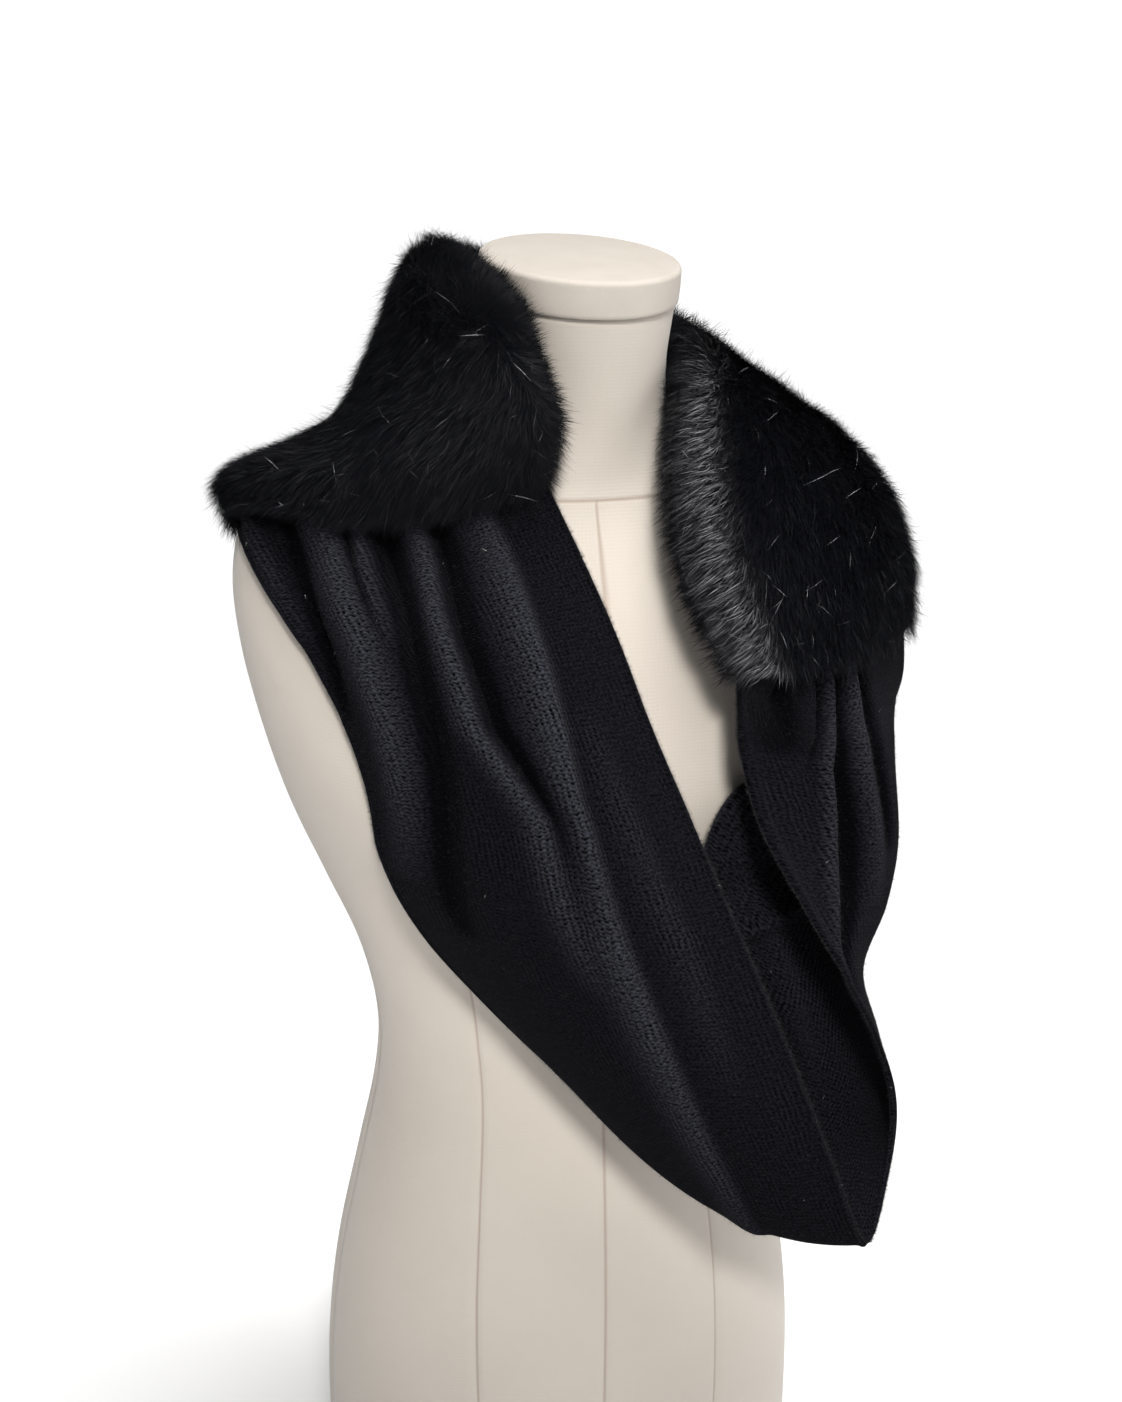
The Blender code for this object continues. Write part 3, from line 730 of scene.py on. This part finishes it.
wool_tone = add_node(
    wool,
    "ShaderNodeMix",
    {"Factor": stitch_light.outputs["Result"], 7: fold_light_and_shade_tone.outputs[2]},
    {"data_type": "RGBA"},
    {6: linear("#010102")},
)
wool.node_tree.links.new(wool_tone.outputs[2], wool_shader.inputs["Base Color"])
wool.node_tree.links.new(knit_bump.outputs["Normal"], wool_shader.inputs["Normal"])


def hairs(name, roots, headings, facing, lengths, widths, tones, bent, material):
    """Fine hairs as tapering slips: straight ones of one triangle, and bent ones with a knee.

    facing is the way that a slip's flat side looks, and tones go to the hairs' own material.
    """
    side = unit(np.cross(headings, facing)) * widths[:, None] / 2
    tips = roots + headings * lengths[:, None]
    straight = np.stack([roots - side, roots + side, tips], axis=1)[~bent]
    knees = roots + headings * lengths[:, None] * 0.55
    tips = knees + unit(headings - facing * 0.3) * lengths[:, None] * 0.45
    low_pair = (roots - side, roots + side)
    knee_pair = (knees - side * 0.8, knees + side * 0.8)
    slips = np.stack([*low_pair, *knee_pair, tips], axis=1)[bent]
    points = np.concatenate([straight.reshape(-1, 3), slips.reshape(-1, 3)])
    first = np.arange(len(straight))[:, None] * 3
    corners = (first + np.array([0, 1, 2])).ravel()
    first = straight.shape[0] * 3 + np.arange(len(slips))[:, None] * 5
    corners = np.concatenate([corners, (first + np.array([0, 1, 3, 2, 2, 3, 4])).ravel()])
    starts = np.arange(len(straight)) * 3
    first = len(straight) * 3 + np.arange(len(slips))[:, None] * 7
    starts = np.concatenate([starts, (first + np.array([0, 4])).ravel()])
    mesh = bpy.data.meshes.new(name)
    mesh.vertices.add(len(points))
    mesh.vertices.foreach_set("co", points.astype(np.float32).ravel())
    mesh.loops.add(len(corners))
    mesh.loops.foreach_set("vertex_index", corners.astype(np.int32))
    mesh.polygons.add(len(starts))
    mesh.polygons.foreach_set("loop_start", starts.astype(np.int32))
    mesh.update(calc_edges=True)
    mesh.shade_smooth()
    point_tones = np.concatenate([np.repeat(tones[~bent], 3), np.repeat(tones[bent], 5)])
    tone_values = mesh.attributes.new("tone", "FLOAT", "POINT")
    tone_values.data.foreach_set("value", point_tones.astype(np.float32))
    mesh.materials.append(material)
    piece = bpy.data.objects.new(name, mesh)
    scene.collection.objects.link(piece)
    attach(piece, "root")


# Loose fibres of the same black wool, brushed out of the yarn: they blur the edges of the knit, and
# a few specks of pale lint are caught in them.
wool_fuzz, fuzz_shader = new_material("black wool fuzz", Roughness=0.9, IOR=1.45)
fuzz_shader.inputs["Specular IOR Level"].default_value = 0.1
fuzz_tone = add_node(wool_fuzz, "ShaderNodeAttribute", settings={"attribute_name": "tone"})
fuzz_colour = add_node(
    wool_fuzz,
    "ShaderNodeMix",
    {"Factor": fuzz_tone.outputs["Fac"]},
    {"data_type": "RGBA"},
    {6: linear("#08080A"), 7: linear("#D8D6D2")},
)
wool_fuzz.node_tree.links.new(fuzz_colour.outputs[2], fuzz_shader.inputs["Base Color"])


def stand_fuzz(name, rows, seed):
    """Loose wool fibres on both sides and both edges of a stretch, and a few specks of pale lint."""
    chance = np.random.default_rng(seed)
    row = chance.uniform(rows.start + 1, (rows.stop or len(band)) - 2, FUZZ_FIBRES)
    column = chance.uniform(0, KNIT_COLUMNS - 1.001, FUZZ_FIBRES)
    at_edge = chance.uniform(0, 1, FUZZ_FIBRES) < FUZZ_SHARE_AT_EDGES
    nearer_edge = np.where(column > KNIT_COLUMNS / 2, KNIT_COLUMNS - 1.05, 0.02)
    column = np.where(at_edge, nearer_edge, column)
    i, j = row.astype(int), column.astype(int)
    t, s = (row - i)[:, None], (column - j)[:, None]

    def between(grid):
        """Values at the roots' places, from those at the band's points."""
        near = grid[i, j] * (1 - s) + grid[i, j + 1] * s
        return near * (1 - t) + (grid[i + 1, j] * (1 - s) + grid[i + 1, j + 1] * s) * t

    on_right_side = chance.uniform(0, 1, (FUZZ_FIBRES, 1)) < FUZZ_SHARE_ON_RIGHT_SIDE
    outward = unit(between(band_normals)) * np.where(on_right_side, 1.0, -1.0)
    edge_side = np.where(column > KNIT_COLUMNS / 2, 1, -1)[:, None]
    edge_way = unit(between(np.gradient(band, axis=1))) * edge_side
    roots = between(band) + outward * (between(half_thickness[:, :, None]) - 0.0002)
    headings = chance.normal(0, 0.75, (FUZZ_FIBRES, 3))
    headings = unit(headings + outward * 0.8 + edge_way * at_edge[:, None] * 1.4)
    headings -= outward * np.minimum(np.sum(headings * outward, axis=1, keepdims=True) - 0.12, 0)
    tones = chance.uniform(0.0, 0.05, FUZZ_FIBRES)
    lint = chance.uniform(0, 1, FUZZ_FIBRES) > 1 - FUZZ_LINT_SHARE
    tones = np.where(lint, chance.uniform(0.15, 0.9, FUZZ_FIBRES), tones)
    lengths = chance.uniform(0.0010, 0.0030, FUZZ_FIBRES) * np.where(lint, 1.4, 1.0)
    widths = chance.uniform(0.00008, 0.00016, FUZZ_FIBRES) * np.where(lint, 3.0, 1.0)
    bent = np.zeros(FUZZ_FIBRES, bool)
    facing = unit(outward + chance.normal(0, 0.4, (FUZZ_FIBRES, 3)))
    headings = unit(headings)
    hairs(name, roots, headings, facing, lengths, widths, tones, bent, wool_fuzz)


def knit_piece(name, rows, node):
    """One stretch of the knitted band: its right side, its wrong side, and the two ends closed."""
    middle, normal, half = band[rows], band_normals[rows], half_thickness[rows][:, :, None]
    count, columns, _ = middle.shape
    right_side, wrong_side = middle + normal * half, middle - normal * half
    points = np.vstack([right_side.reshape(-1, 3), wrong_side.reshape(-1, 3)])
    below = count * columns
    faces = grid_faces(count, columns)
    faces += [tuple(reversed([v + below for v in f])) for f in grid_faces(count, columns)]
    for i in range(count - 1):
        near, far = i * columns, (i + 1) * columns
        faces.append((near, far, far + below, near + below))
        near, far = near + columns - 1, far + columns - 1
        faces.append((far, near, near + below, far + below))
    for j in range(columns - 1):
        faces.append((j + 1, j, j + below, j + 1 + below))
        a = (count - 1) * columns + j
        faces.append((a, a + 1, a + 1 + below, a + below))
    u = np.broadcast_to(band_across * KNIT_CUT_WIDTH, (count, columns))
    v = np.broadcast_to(length_along[rows][:, None], (count, columns))
    uv = np.stack([u, v], axis=-1).reshape(-1, 2)
    piece = cloth_piece(name, points, faces, wool, np.vstack([uv, uv]))
    # painted light: the right side paler on raised folds and darker in valleys, the wrong side paler all
    # over
    painted_light = np.concatenate([fold_light_and_shade_share[rows].ravel(), np.full(fold_light_and_shade_share[rows].size, WRONG_SIDE_PAINTED_LIGHT)])
    painted_light_values = piece.data.attributes.new("fold_light_and_shade", "FLOAT", "POINT")
    painted_light_values.data.foreach_set("value", painted_light.astype(np.float32))
    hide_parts(node)


tip_row = SEAM_ROWS + FALL_ROWS - 1
falling, rising = slice(0, tip_row + 1), slice(tip_row, None)
knit_piece("knitted_falling_stretch", falling, "knit_falling_stretch")
knit_piece("knitted_rising_stretch", rising, "knit_rising_stretch")
stand_fuzz("wool_fuzz_of_falling_stretch", falling, 21)
stand_fuzz("wool_fuzz_of_rising_stretch", rising, 22)

# The fur collar band
# A strip of black long-haired fur is sewn to both gathered ends. It lies on the shoulders and
# stands up round the neck; a dense dark underfur is covered by glossy guard hairs.
# Each section gives the band's neck edge, its bend and its outer edge, and the thickness of its
# skin and pile together where it stands at the neck and where it lies on the shoulder.
CollarSection = namedtuple("CollarSection", "top bend outer stand lie")
COLLAR_SECTIONS = [
    CollarSection((0.052, -0.138, 0.549), (0.120, -0.120, 0.550), (0.195, -0.050, 0.555), 0.024, 0.024),
    CollarSection((0.031, -0.116, 0.598), (0.124, -0.102, 0.606), (0.204, -0.034, 0.590), 0.028, 0.026),
    CollarSection((0.031, -0.092, 0.644), (0.124, -0.068, 0.652), (0.203, -0.010, 0.619), 0.034, 0.027),
    CollarSection((0.047, -0.058, 0.690), (0.112, -0.020, 0.692), (0.192, 0.022, 0.637), 0.040, 0.027),
    CollarSection((0.072, 0.006, 0.718), (0.096, 0.028, 0.694), (0.168, 0.070, 0.640), 0.042, 0.027),
    CollarSection((0.046, 0.048, 0.744), (0.052, 0.074, 0.704), (0.096, 0.118, 0.640), 0.040, 0.028),
    CollarSection((0.000, 0.066, 0.758), (0.000, 0.084, 0.704), (0.000, 0.134, 0.632), 0.042, 0.028),
    CollarSection((-0.054, 0.042, 0.768), (-0.060, 0.076, 0.698), (-0.092, 0.112, 0.638), 0.040, 0.022),
    CollarSection((-0.070, -0.018, 0.766), (-0.108, 0.020, 0.674), (-0.168, 0.062, 0.645), 0.052, 0.017),
    CollarSection((-0.050, -0.064, 0.742), (-0.106, -0.036, 0.674), (-0.192, 0.020, 0.643), 0.052, 0.018),
    CollarSection((-0.031, -0.082, 0.686), (-0.104, -0.078, 0.664), (-0.194, 0.004, 0.637), 0.036, 0.022),
    CollarSection((-0.032, -0.073, 0.646), (-0.109, -0.080, 0.636), (-0.188, -0.004, 0.622), 0.022, 0.024),
]
COLLAR_CUTS = (4, 7)  # the sections where one stretch ends and the next begins
COLLAR_BEND = 2.7
COLLAR_ROWS_PER_SECTION = 12
COLLAR_COLUMNS = 56
PILE_BELOW_THE_SEAM = 0.0042
UNDERFUR_DEPTH = 0.0050
WOOL_HAIR_LENGTH = 0.0105
GUARD_HAIR_LENGTH = 0.0155
HAIR_WIDTH = 0.00022  # a real guard hair is under 0.1 mm, drawn wider so that fewer cover the skin
HAIRS_OF_STRETCH = (133000, 70000, 133000)
HAIR_SHARE_ON_THE_INSIDE = 0.06
GUARD_SHARE = 0.23
STRAY_SHARE = 0.06
LINT_SHARE = 0.003
LINT_SHARE_MORE_AT_SEAM = 0.009
PILE_LIE = np.array([-0.62, -0.10, -0.75])
PILE_DISORDER = 0.12
SEAM_REACH_IN_ROWS = 16
# The combed roll along the neck edge is painted with a pale highlight, only on the form's left: where
# it lies across the band's width, how wide it is, how many sections it runs from the seam, and how
# its hair lies.
ROLL_PLACE = 0.095
ROLL_WIDTH = 0.050
ROLL_SECTIONS = 4.0
ROLL_LIE = np.array([-0.84, -0.12, -0.42])
ROLL_SHINE = (1.0, 0.0, 0.0)

last_of_collar = len(COLLAR_SECTIONS) - 1
collar_at = np.linspace(0, last_of_collar, last_of_collar * COLLAR_ROWS_PER_SECTION + 1)
collar_share = (1 - np.cos(np.linspace(0, math.pi, COLLAR_COLUMNS))) / 2
collar_rows = through([[*s.top, *s.bend, *s.outer, s.stand, s.lie] for s in COLLAR_SECTIONS], collar_at)
top, bend, outer = (collar_rows[:, None, k : k + 3] + FORM_AXIS for k in (0, 3, 6))
share = collar_share[None, :, None]
collar = top * (1 - share) + outer * share
collar = collar + COLLAR_BEND * share * (1 - share) * (bend - (top + outer) / 2)
standing = np.clip(1 - collar_share / 0.6, 0, 1)[None, :]
pile = collar_rows[:, 9:10] * standing + collar_rows[:, 10:11] * (1 - standing)
pile = pile * np.sqrt(np.clip(1 - (2 * collar_share - 1) ** 8, 0, 1))[None, :]
collar = clear_of_form(collar, pile / 2 + 0.0008)


def on_collar(row_of_band):
    """A row across the knitted band, taken at the collar's own columns."""
    return np.column_stack([np.interp(collar_share, band_across, row_of_band[:, k]) for k in range(3)])


# over a section and a half from each seam the collar is eased on to the end of the knitted band
ease = COLLAR_ROWS_PER_SECTION * 3 // 2
for end, inward, knit_row in ((0, 1, -1), (-1, -1, 0)):
    seam_line = on_collar(flat_band[knit_row])
    seam_normal = on_collar(normals_of(flat_band)[knit_row])
    raised = pile[end][:, None] / 2 - PILE_BELOW_THE_SEAM
    shift = seam_line + unit(seam_normal) * raised - collar[end]
    for step in range(ease):
        eased = 0.5 + 0.5 * math.cos(math.pi * step / ease)
        collar[end + inward * step] += shift * eased
collar_normals = normals_of(collar)
collar_outside = collar + collar_normals * pile[:, :, None] / 2
collar_inside = clear_of_form(collar - collar_normals * pile[:, :, None] / 2, 0.0008)
# the outer surface of the pile as closed rings: over the outside, back along the inside
pile_rings = np.concatenate([collar_outside, collar_inside[:, -2:0:-1]], axis=1)
along_ring = np.gradient(pile_rings, axis=0)
padded_rings = np.concatenate([pile_rings[:, -1:], pile_rings, pile_rings[:, :1]], axis=1)
across_ring = np.gradient(padded_rings, axis=1)[:, 1:-1]
ring_normals = unit(np.cross(across_ring, along_ring))
middle_of_ring = np.concatenate([collar, collar[:, -2:0:-1]], axis=1)
wrong_way = np.sum(ring_normals * (pile_rings - middle_of_ring), axis=-1, keepdims=True) < -1e-6
ring_normals = np.where(wrong_way, -ring_normals, ring_normals)
room = np.linalg.norm(pile_rings - middle_of_ring, axis=-1, keepdims=True)
from_middle = unit(pile_rings - middle_of_ring + ring_normals * 1e-6)
underfur = pile_rings - from_middle * np.minimum(UNDERFUR_DEPTH, room * 0.7)

# Underfur, the dense woolly hair next to the skin, dyed black: it takes in nearly all light, so the
# gaps between the guard hairs read as deep shade.
underfur_black, underfur_shader = new_material("dense black underfur", Roughness=0.95, IOR=1.55)
underfur_shader.inputs["Base Color"].default_value = linear("#040509")
underfur_shader.inputs["Specular IOR Level"].default_value = 0.05
fur_place = add_node(underfur_black, "ShaderNodeTexCoord")
# clumps of fine hair, about 1.4 mm across
fur_clumps = add_node(
    underfur_black,
    "ShaderNodeTexNoise",
    {"Vector": fur_place.outputs["Object"]},
    None,
    {"Scale": 700.0, "Detail": 4.0},
)
fur_bump = add_node(
    underfur_black,
    "ShaderNodeBump",
    {"Height": fur_clumps.outputs["Fac"]},
    None,
    {"Strength": 0.8, "Distance": 0.001},
)
underfur_black.node_tree.links.new(fur_bump.outputs["Normal"], underfur_shader.inputs["Normal"])

# Guard hair, the long smooth hair that covers the underfur, dyed black and combed: each hair is
# black with a soft gloss, and along the combed roll at the neck edge the hairs' colour is painted
# pale in streaks, a painted highlight. Lint is caught among them.
guard_hair, hair_shader = new_material("glossy black guard hair", Roughness=0.40, IOR=1.55)
hair_shader.inputs["Specular IOR Level"].default_value = 0.06
hair_tone = add_node(guard_hair, "ShaderNodeAttribute", settings={"attribute_name": "tone"})
hair_colour = add_node(
    guard_hair,
    "ShaderNodeMix",
    {"Factor": hair_tone.outputs["Fac"]},
    {"data_type": "RGBA"},
    {6: linear("#07080D"), 7: linear("#C4C4C8")},
)
guard_hair.node_tree.links.new(hair_colour.outputs[2], hair_shader.inputs["Base Color"])


def drift(places, seed, wavelength):
    """A smooth seeded vector field, the way fur lies in soft tufts."""
    waves = np.random.default_rng(seed)
    field = np.zeros((len(places), 3))
    for _ in range(7):
        heading = waves.normal(0, 1, 3)
        heading *= math.tau / wavelength / np.linalg.norm(heading) * waves.uniform(0.6, 1.6)
        field += np.sin(places @ heading + waves.uniform(0, math.tau))[:, None] * waves.normal(0, 1, 3)
    return field / 3


ring_share = np.concatenate([collar_share, collar_share[-2:0:-1]])
collar_last = len(collar_at) - 1
collar_cuts = [0, *(cut * COLLAR_ROWS_PER_SECTION for cut in COLLAR_CUTS), collar_last]
collar_names = ("left_shoulder", "back_of_neck", "right_shoulder")
for number, (name, low, high) in enumerate(zip(collar_names, collar_cuts, collar_cuts[1:])):
    rings = underfur[low : high + 1]
    count, columns, _ = rings.shape
    faces = grid_faces(count, columns, closed=True)
    faces.append(tuple(reversed(range(columns))))
    faces.append(tuple(range((count - 1) * columns, count * columns)))
    skin = cloth_piece("underfur_" + name, rings.reshape(-1, 3), faces, underfur_black)
    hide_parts("fur_" + name)

    count = HAIRS_OF_STRETCH[number]
    chance = np.random.default_rng(100 + number)
    envelope = pile_rings[low : high + 1]
    cell_sides = np.linalg.norm(np.diff(envelope, axis=0), axis=2)
    ring_sides = np.linalg.norm(np.diff(envelope, axis=1, append=envelope[:, :1]), axis=2)
    area = cell_sides * ring_sides[:-1]
    # few hairs grow on the inside, which lies on the form
    column_numbers = np.arange(columns)
    hidden = (column_numbers > COLLAR_COLUMNS + 4) & (column_numbers < columns - COLLAR_COLUMNS * 0.42)
    area[:, hidden] *= HAIR_SHARE_ON_THE_INSIDE
    row, column = np.divmod(chance.choice(area.size, count, p=(area / area.sum()).ravel()), columns)
    t, s = chance.uniform(0, 1, (2, count, 1))
    next_column = (column + 1) % columns

    def within_cell(grid):
        """Values at the roots' places, from those at the points of the rings."""
        near = grid[row, column] * (1 - s) + grid[row, next_column] * s
        return near * (1 - t) + (grid[row + 1, column] * (1 - s) + grid[row + 1, next_column] * s) * t

    roots = within_cell(rings)
    outward = unit(within_cell(ring_normals[low : high + 1]))
    tip_level = within_cell(envelope)
    depth = np.sum((tip_level - roots) * outward, axis=1, keepdims=True)
    across_way = unit(within_cell(across_ring[low : high + 1]))
    along_way = unit(within_cell(along_ring[low : high + 1]))
    toward_neck = np.where((column >= COLLAR_COLUMNS)[:, None], across_way, -across_way)
    place = ring_share[column][:, None]
    at_row = (row + low)[:, None] + t
    toward_seam = np.clip(1 - (collar_last - at_row) / SEAM_REACH_IN_ROWS, 0, 1)
    toward_seam -= np.clip(1 - at_row / SEAM_REACH_IN_ROWS, 0, 1)
    on_outside = (column < COLLAR_COLUMNS)[:, None]
    on_roll = np.exp(-(((place - ROLL_PLACE) / ROLL_WIDTH) ** 2)) * on_outside * ROLL_SHINE[number]
    on_roll *= np.clip(ROLL_SECTIONS - at_row / COLLAR_ROWS_PER_SECTION, 0, 1)
    at_edge = np.exp(-((place / 0.09) ** 2)) * (1 - on_roll)
    # the hairs lie down and to the form's right, over the neck edge, and along the band at the seams
    lying = PILE_LIE * (1 - 0.7 * at_edge) + (ROLL_LIE - PILE_LIE) * on_roll + toward_neck * at_edge * 0.9
    lying += along_way * toward_seam * 0.35 * (1 - on_roll)
    lying += (drift(tip_level, 7, 0.034) * 0.20 + drift(tip_level, 8, 0.010) * 0.10) * (1 - 0.7 * on_roll)
    lying += chance.normal(0, PILE_DISORDER, (count, 3)) * (1 - 0.4 * on_roll)
    bent = chance.uniform(0, 1, count) < GUARD_SHARE
    lint_share = LINT_SHARE + LINT_SHARE_MORE_AT_SEAM * np.abs(toward_seam[:, 0])
    lint = bent & (chance.uniform(0, 1, count) < lint_share)
    lying = np.where(lint[:, None], chance.normal(0, 1, (count, 3)), lying)
    lying -= outward * np.sum(lying * outward, axis=1, keepdims=True)
    lengths = np.where(bent, GUARD_HAIR_LENGTH, WOOL_HAIR_LENGTH) * chance.uniform(0.75, 1.15, count)
    # how far a hair's tip passes the pile's level: guard hairs a little, strays a lot, wool hairs less
    beyond = np.where(bent, chance.uniform(0.0, 0.0042, count), -chance.uniform(0.0, 0.0020, count))
    stray = chance.uniform(0, 1, count) < STRAY_SHARE
    beyond += stray * chance.uniform(0.002, 0.0095, count) * np.where(place[:, 0] > 0.7, 0.7, 1.0)
    beyond -= 0.0045 * np.exp(-(((place[:, 0] - 0.55) / 0.13) ** 2)) * (number == 2)
    rise = np.clip((depth + beyond[:, None]) / lengths[:, None], 0.12, 0.92)
    headings = unit(unit(lying) * np.sqrt(1 - rise**2) + outward * rise)
    facing = unit(outward + chance.normal(0, 0.35, (count, 3)))
    tones = chance.uniform(0.0, 0.007, count)
    # painted highlight: pale streaks in the hairs' colour along the combed roll
    tones += on_roll[:, 0] * 0.85 * chance.uniform(0, 1, count) ** 4 * np.where(bent, 1.0, 0.55)
    tones = np.where(lint, chance.uniform(0.2, 0.95, count), tones)
    widths = HAIR_WIDTH * chance.uniform(0.7, 1.3, count) * np.where(lint, 0.8, np.where(stray, 0.85, 1.0))
    lengths = np.where(lint, lengths * chance.uniform(0.5, 1.1, count), lengths)
    hairs("pile_" + name, roots, headings, facing, lengths, widths, tones, bent, guard_hair)

# The studio
# A pale floor lies under broad soft light from above. A soft spot high on the camera's side lights
# the chest in the V, and a large softbox stands on the form's left. The surround is white to the
# camera, while it lights the object only faintly.
CAMERA_DISTANCE = 1.06
CAMERA_TURN = math.radians(18)
CAMERA_HEIGHT = 0.76
CAMERA_PITCH = math.radians(13.4)
FOCAL_LENGTH = 47.45
SURROUND_STRENGTH = 0.16
BACKDROP_STRENGTH = 1.05

camera_data = bpy.data.cameras.new("camera")
camera_data.sensor_fit = "AUTO"
camera_data.sensor_width = 36
camera_data.lens = FOCAL_LENGTH
camera = bpy.data.objects.new("camera", camera_data)
scene.collection.objects.link(camera)
level_view = Vector((math.sin(CAMERA_TURN), math.cos(CAMERA_TURN), 0))
camera.location = Vector(FORM_AXIS) - level_view * CAMERA_DISTANCE + Vector((0, 0, CAMERA_HEIGHT))
view_way = level_view * math.cos(CAMERA_PITCH) - Vector((0, 0, math.sin(CAMERA_PITCH)))
camera.rotation_euler = view_way.to_track_quat("-Z", "Y").to_euler()
scene.camera = camera

floor_mesh = bpy.data.meshes.new("studio_floor")
floor_mesh.from_pydata([(-30, -30, 0), (30, -30, 0), (30, 30, 0), (-30, 30, 0)], [], [(0, 1, 2, 3)])
# Matt floor paint, rolled on: nearly white and without gloss, so that it shows soft shadows alone.
floor_paint, floor_shader = new_material("pale matt floor paint", Roughness=0.9)
floor_shader.inputs["Base Color"].default_value = linear("#FBFBFB")
floor_mesh.materials.append(floor_paint)
floor = bpy.data.objects.new("studio_floor", floor_mesh)
scene.collection.objects.link(floor)

overhead_light = bpy.data.lights.new("overhead_softlight", "SUN")
overhead_light.energy = 3.1
overhead_light.angle = math.radians(32)
overhead_source = bpy.data.objects.new("overhead_softlight", overhead_light)
scene.collection.objects.link(overhead_source)
overhead_source.rotation_euler = Vector((-0.06, 0.17, -1)).to_track_quat("-Z", "Y").to_euler()

chest_light = bpy.data.lights.new("front_soft_spot", "SPOT")
chest_light.energy = 420
chest_light.color = linear("#FFFCF8")[:3]
chest_light.shadow_soft_size = 0.30
chest_light.spot_size = math.radians(16)
chest_light.spot_blend = 1.0
chest_light_source = bpy.data.objects.new("front_soft_spot", chest_light)
scene.collection.objects.link(chest_light_source)
chest_light_source.location = Vector(FORM_AXIS) + Vector((-0.22, -1.40, 1.50))
toward_chest = Vector(FORM_AXIS) + Vector((0.03, -0.1, 0.505)) - chest_light_source.location
chest_light_source.rotation_euler = toward_chest.to_track_quat("-Z", "Y").to_euler()

side_light = bpy.data.lights.new("side_softbox", "AREA")
side_light.shape = "DISK"
side_light.size = 1.2
side_light.energy = 7
side_light_source = bpy.data.objects.new("side_softbox", side_light)
scene.collection.objects.link(side_light_source)
side_light_source.location = Vector(FORM_AXIS) + Vector((1.30, -0.80, 0.95))
toward_side = Vector(FORM_AXIS) + Vector((0, 0, 0.45)) - side_light_source.location
side_light_source.rotation_euler = toward_side.to_track_quat("-Z", "Y").to_euler()

surround = bpy.data.worlds.new("pale_studio")
surround.use_nodes = True
surround_nodes = surround.node_tree
surround_light = surround_nodes.nodes["Background"]
surround_light.inputs["Color"].default_value = (1, 1, 1, 1)
seen = add_node(surround, "ShaderNodeLightPath")
seen_strength = add_node(
    surround,
    "ShaderNodeMix",
    {"Factor": seen.outputs["Is Camera Ray"]},
    {"data_type": "FLOAT"},
    {2: SURROUND_STRENGTH, 3: BACKDROP_STRENGTH},
)
surround_nodes.links.new(seen_strength.outputs[0], surround_light.inputs["Strength"])
scene.world = surround
scene.view_settings.view_transform = "Standard"
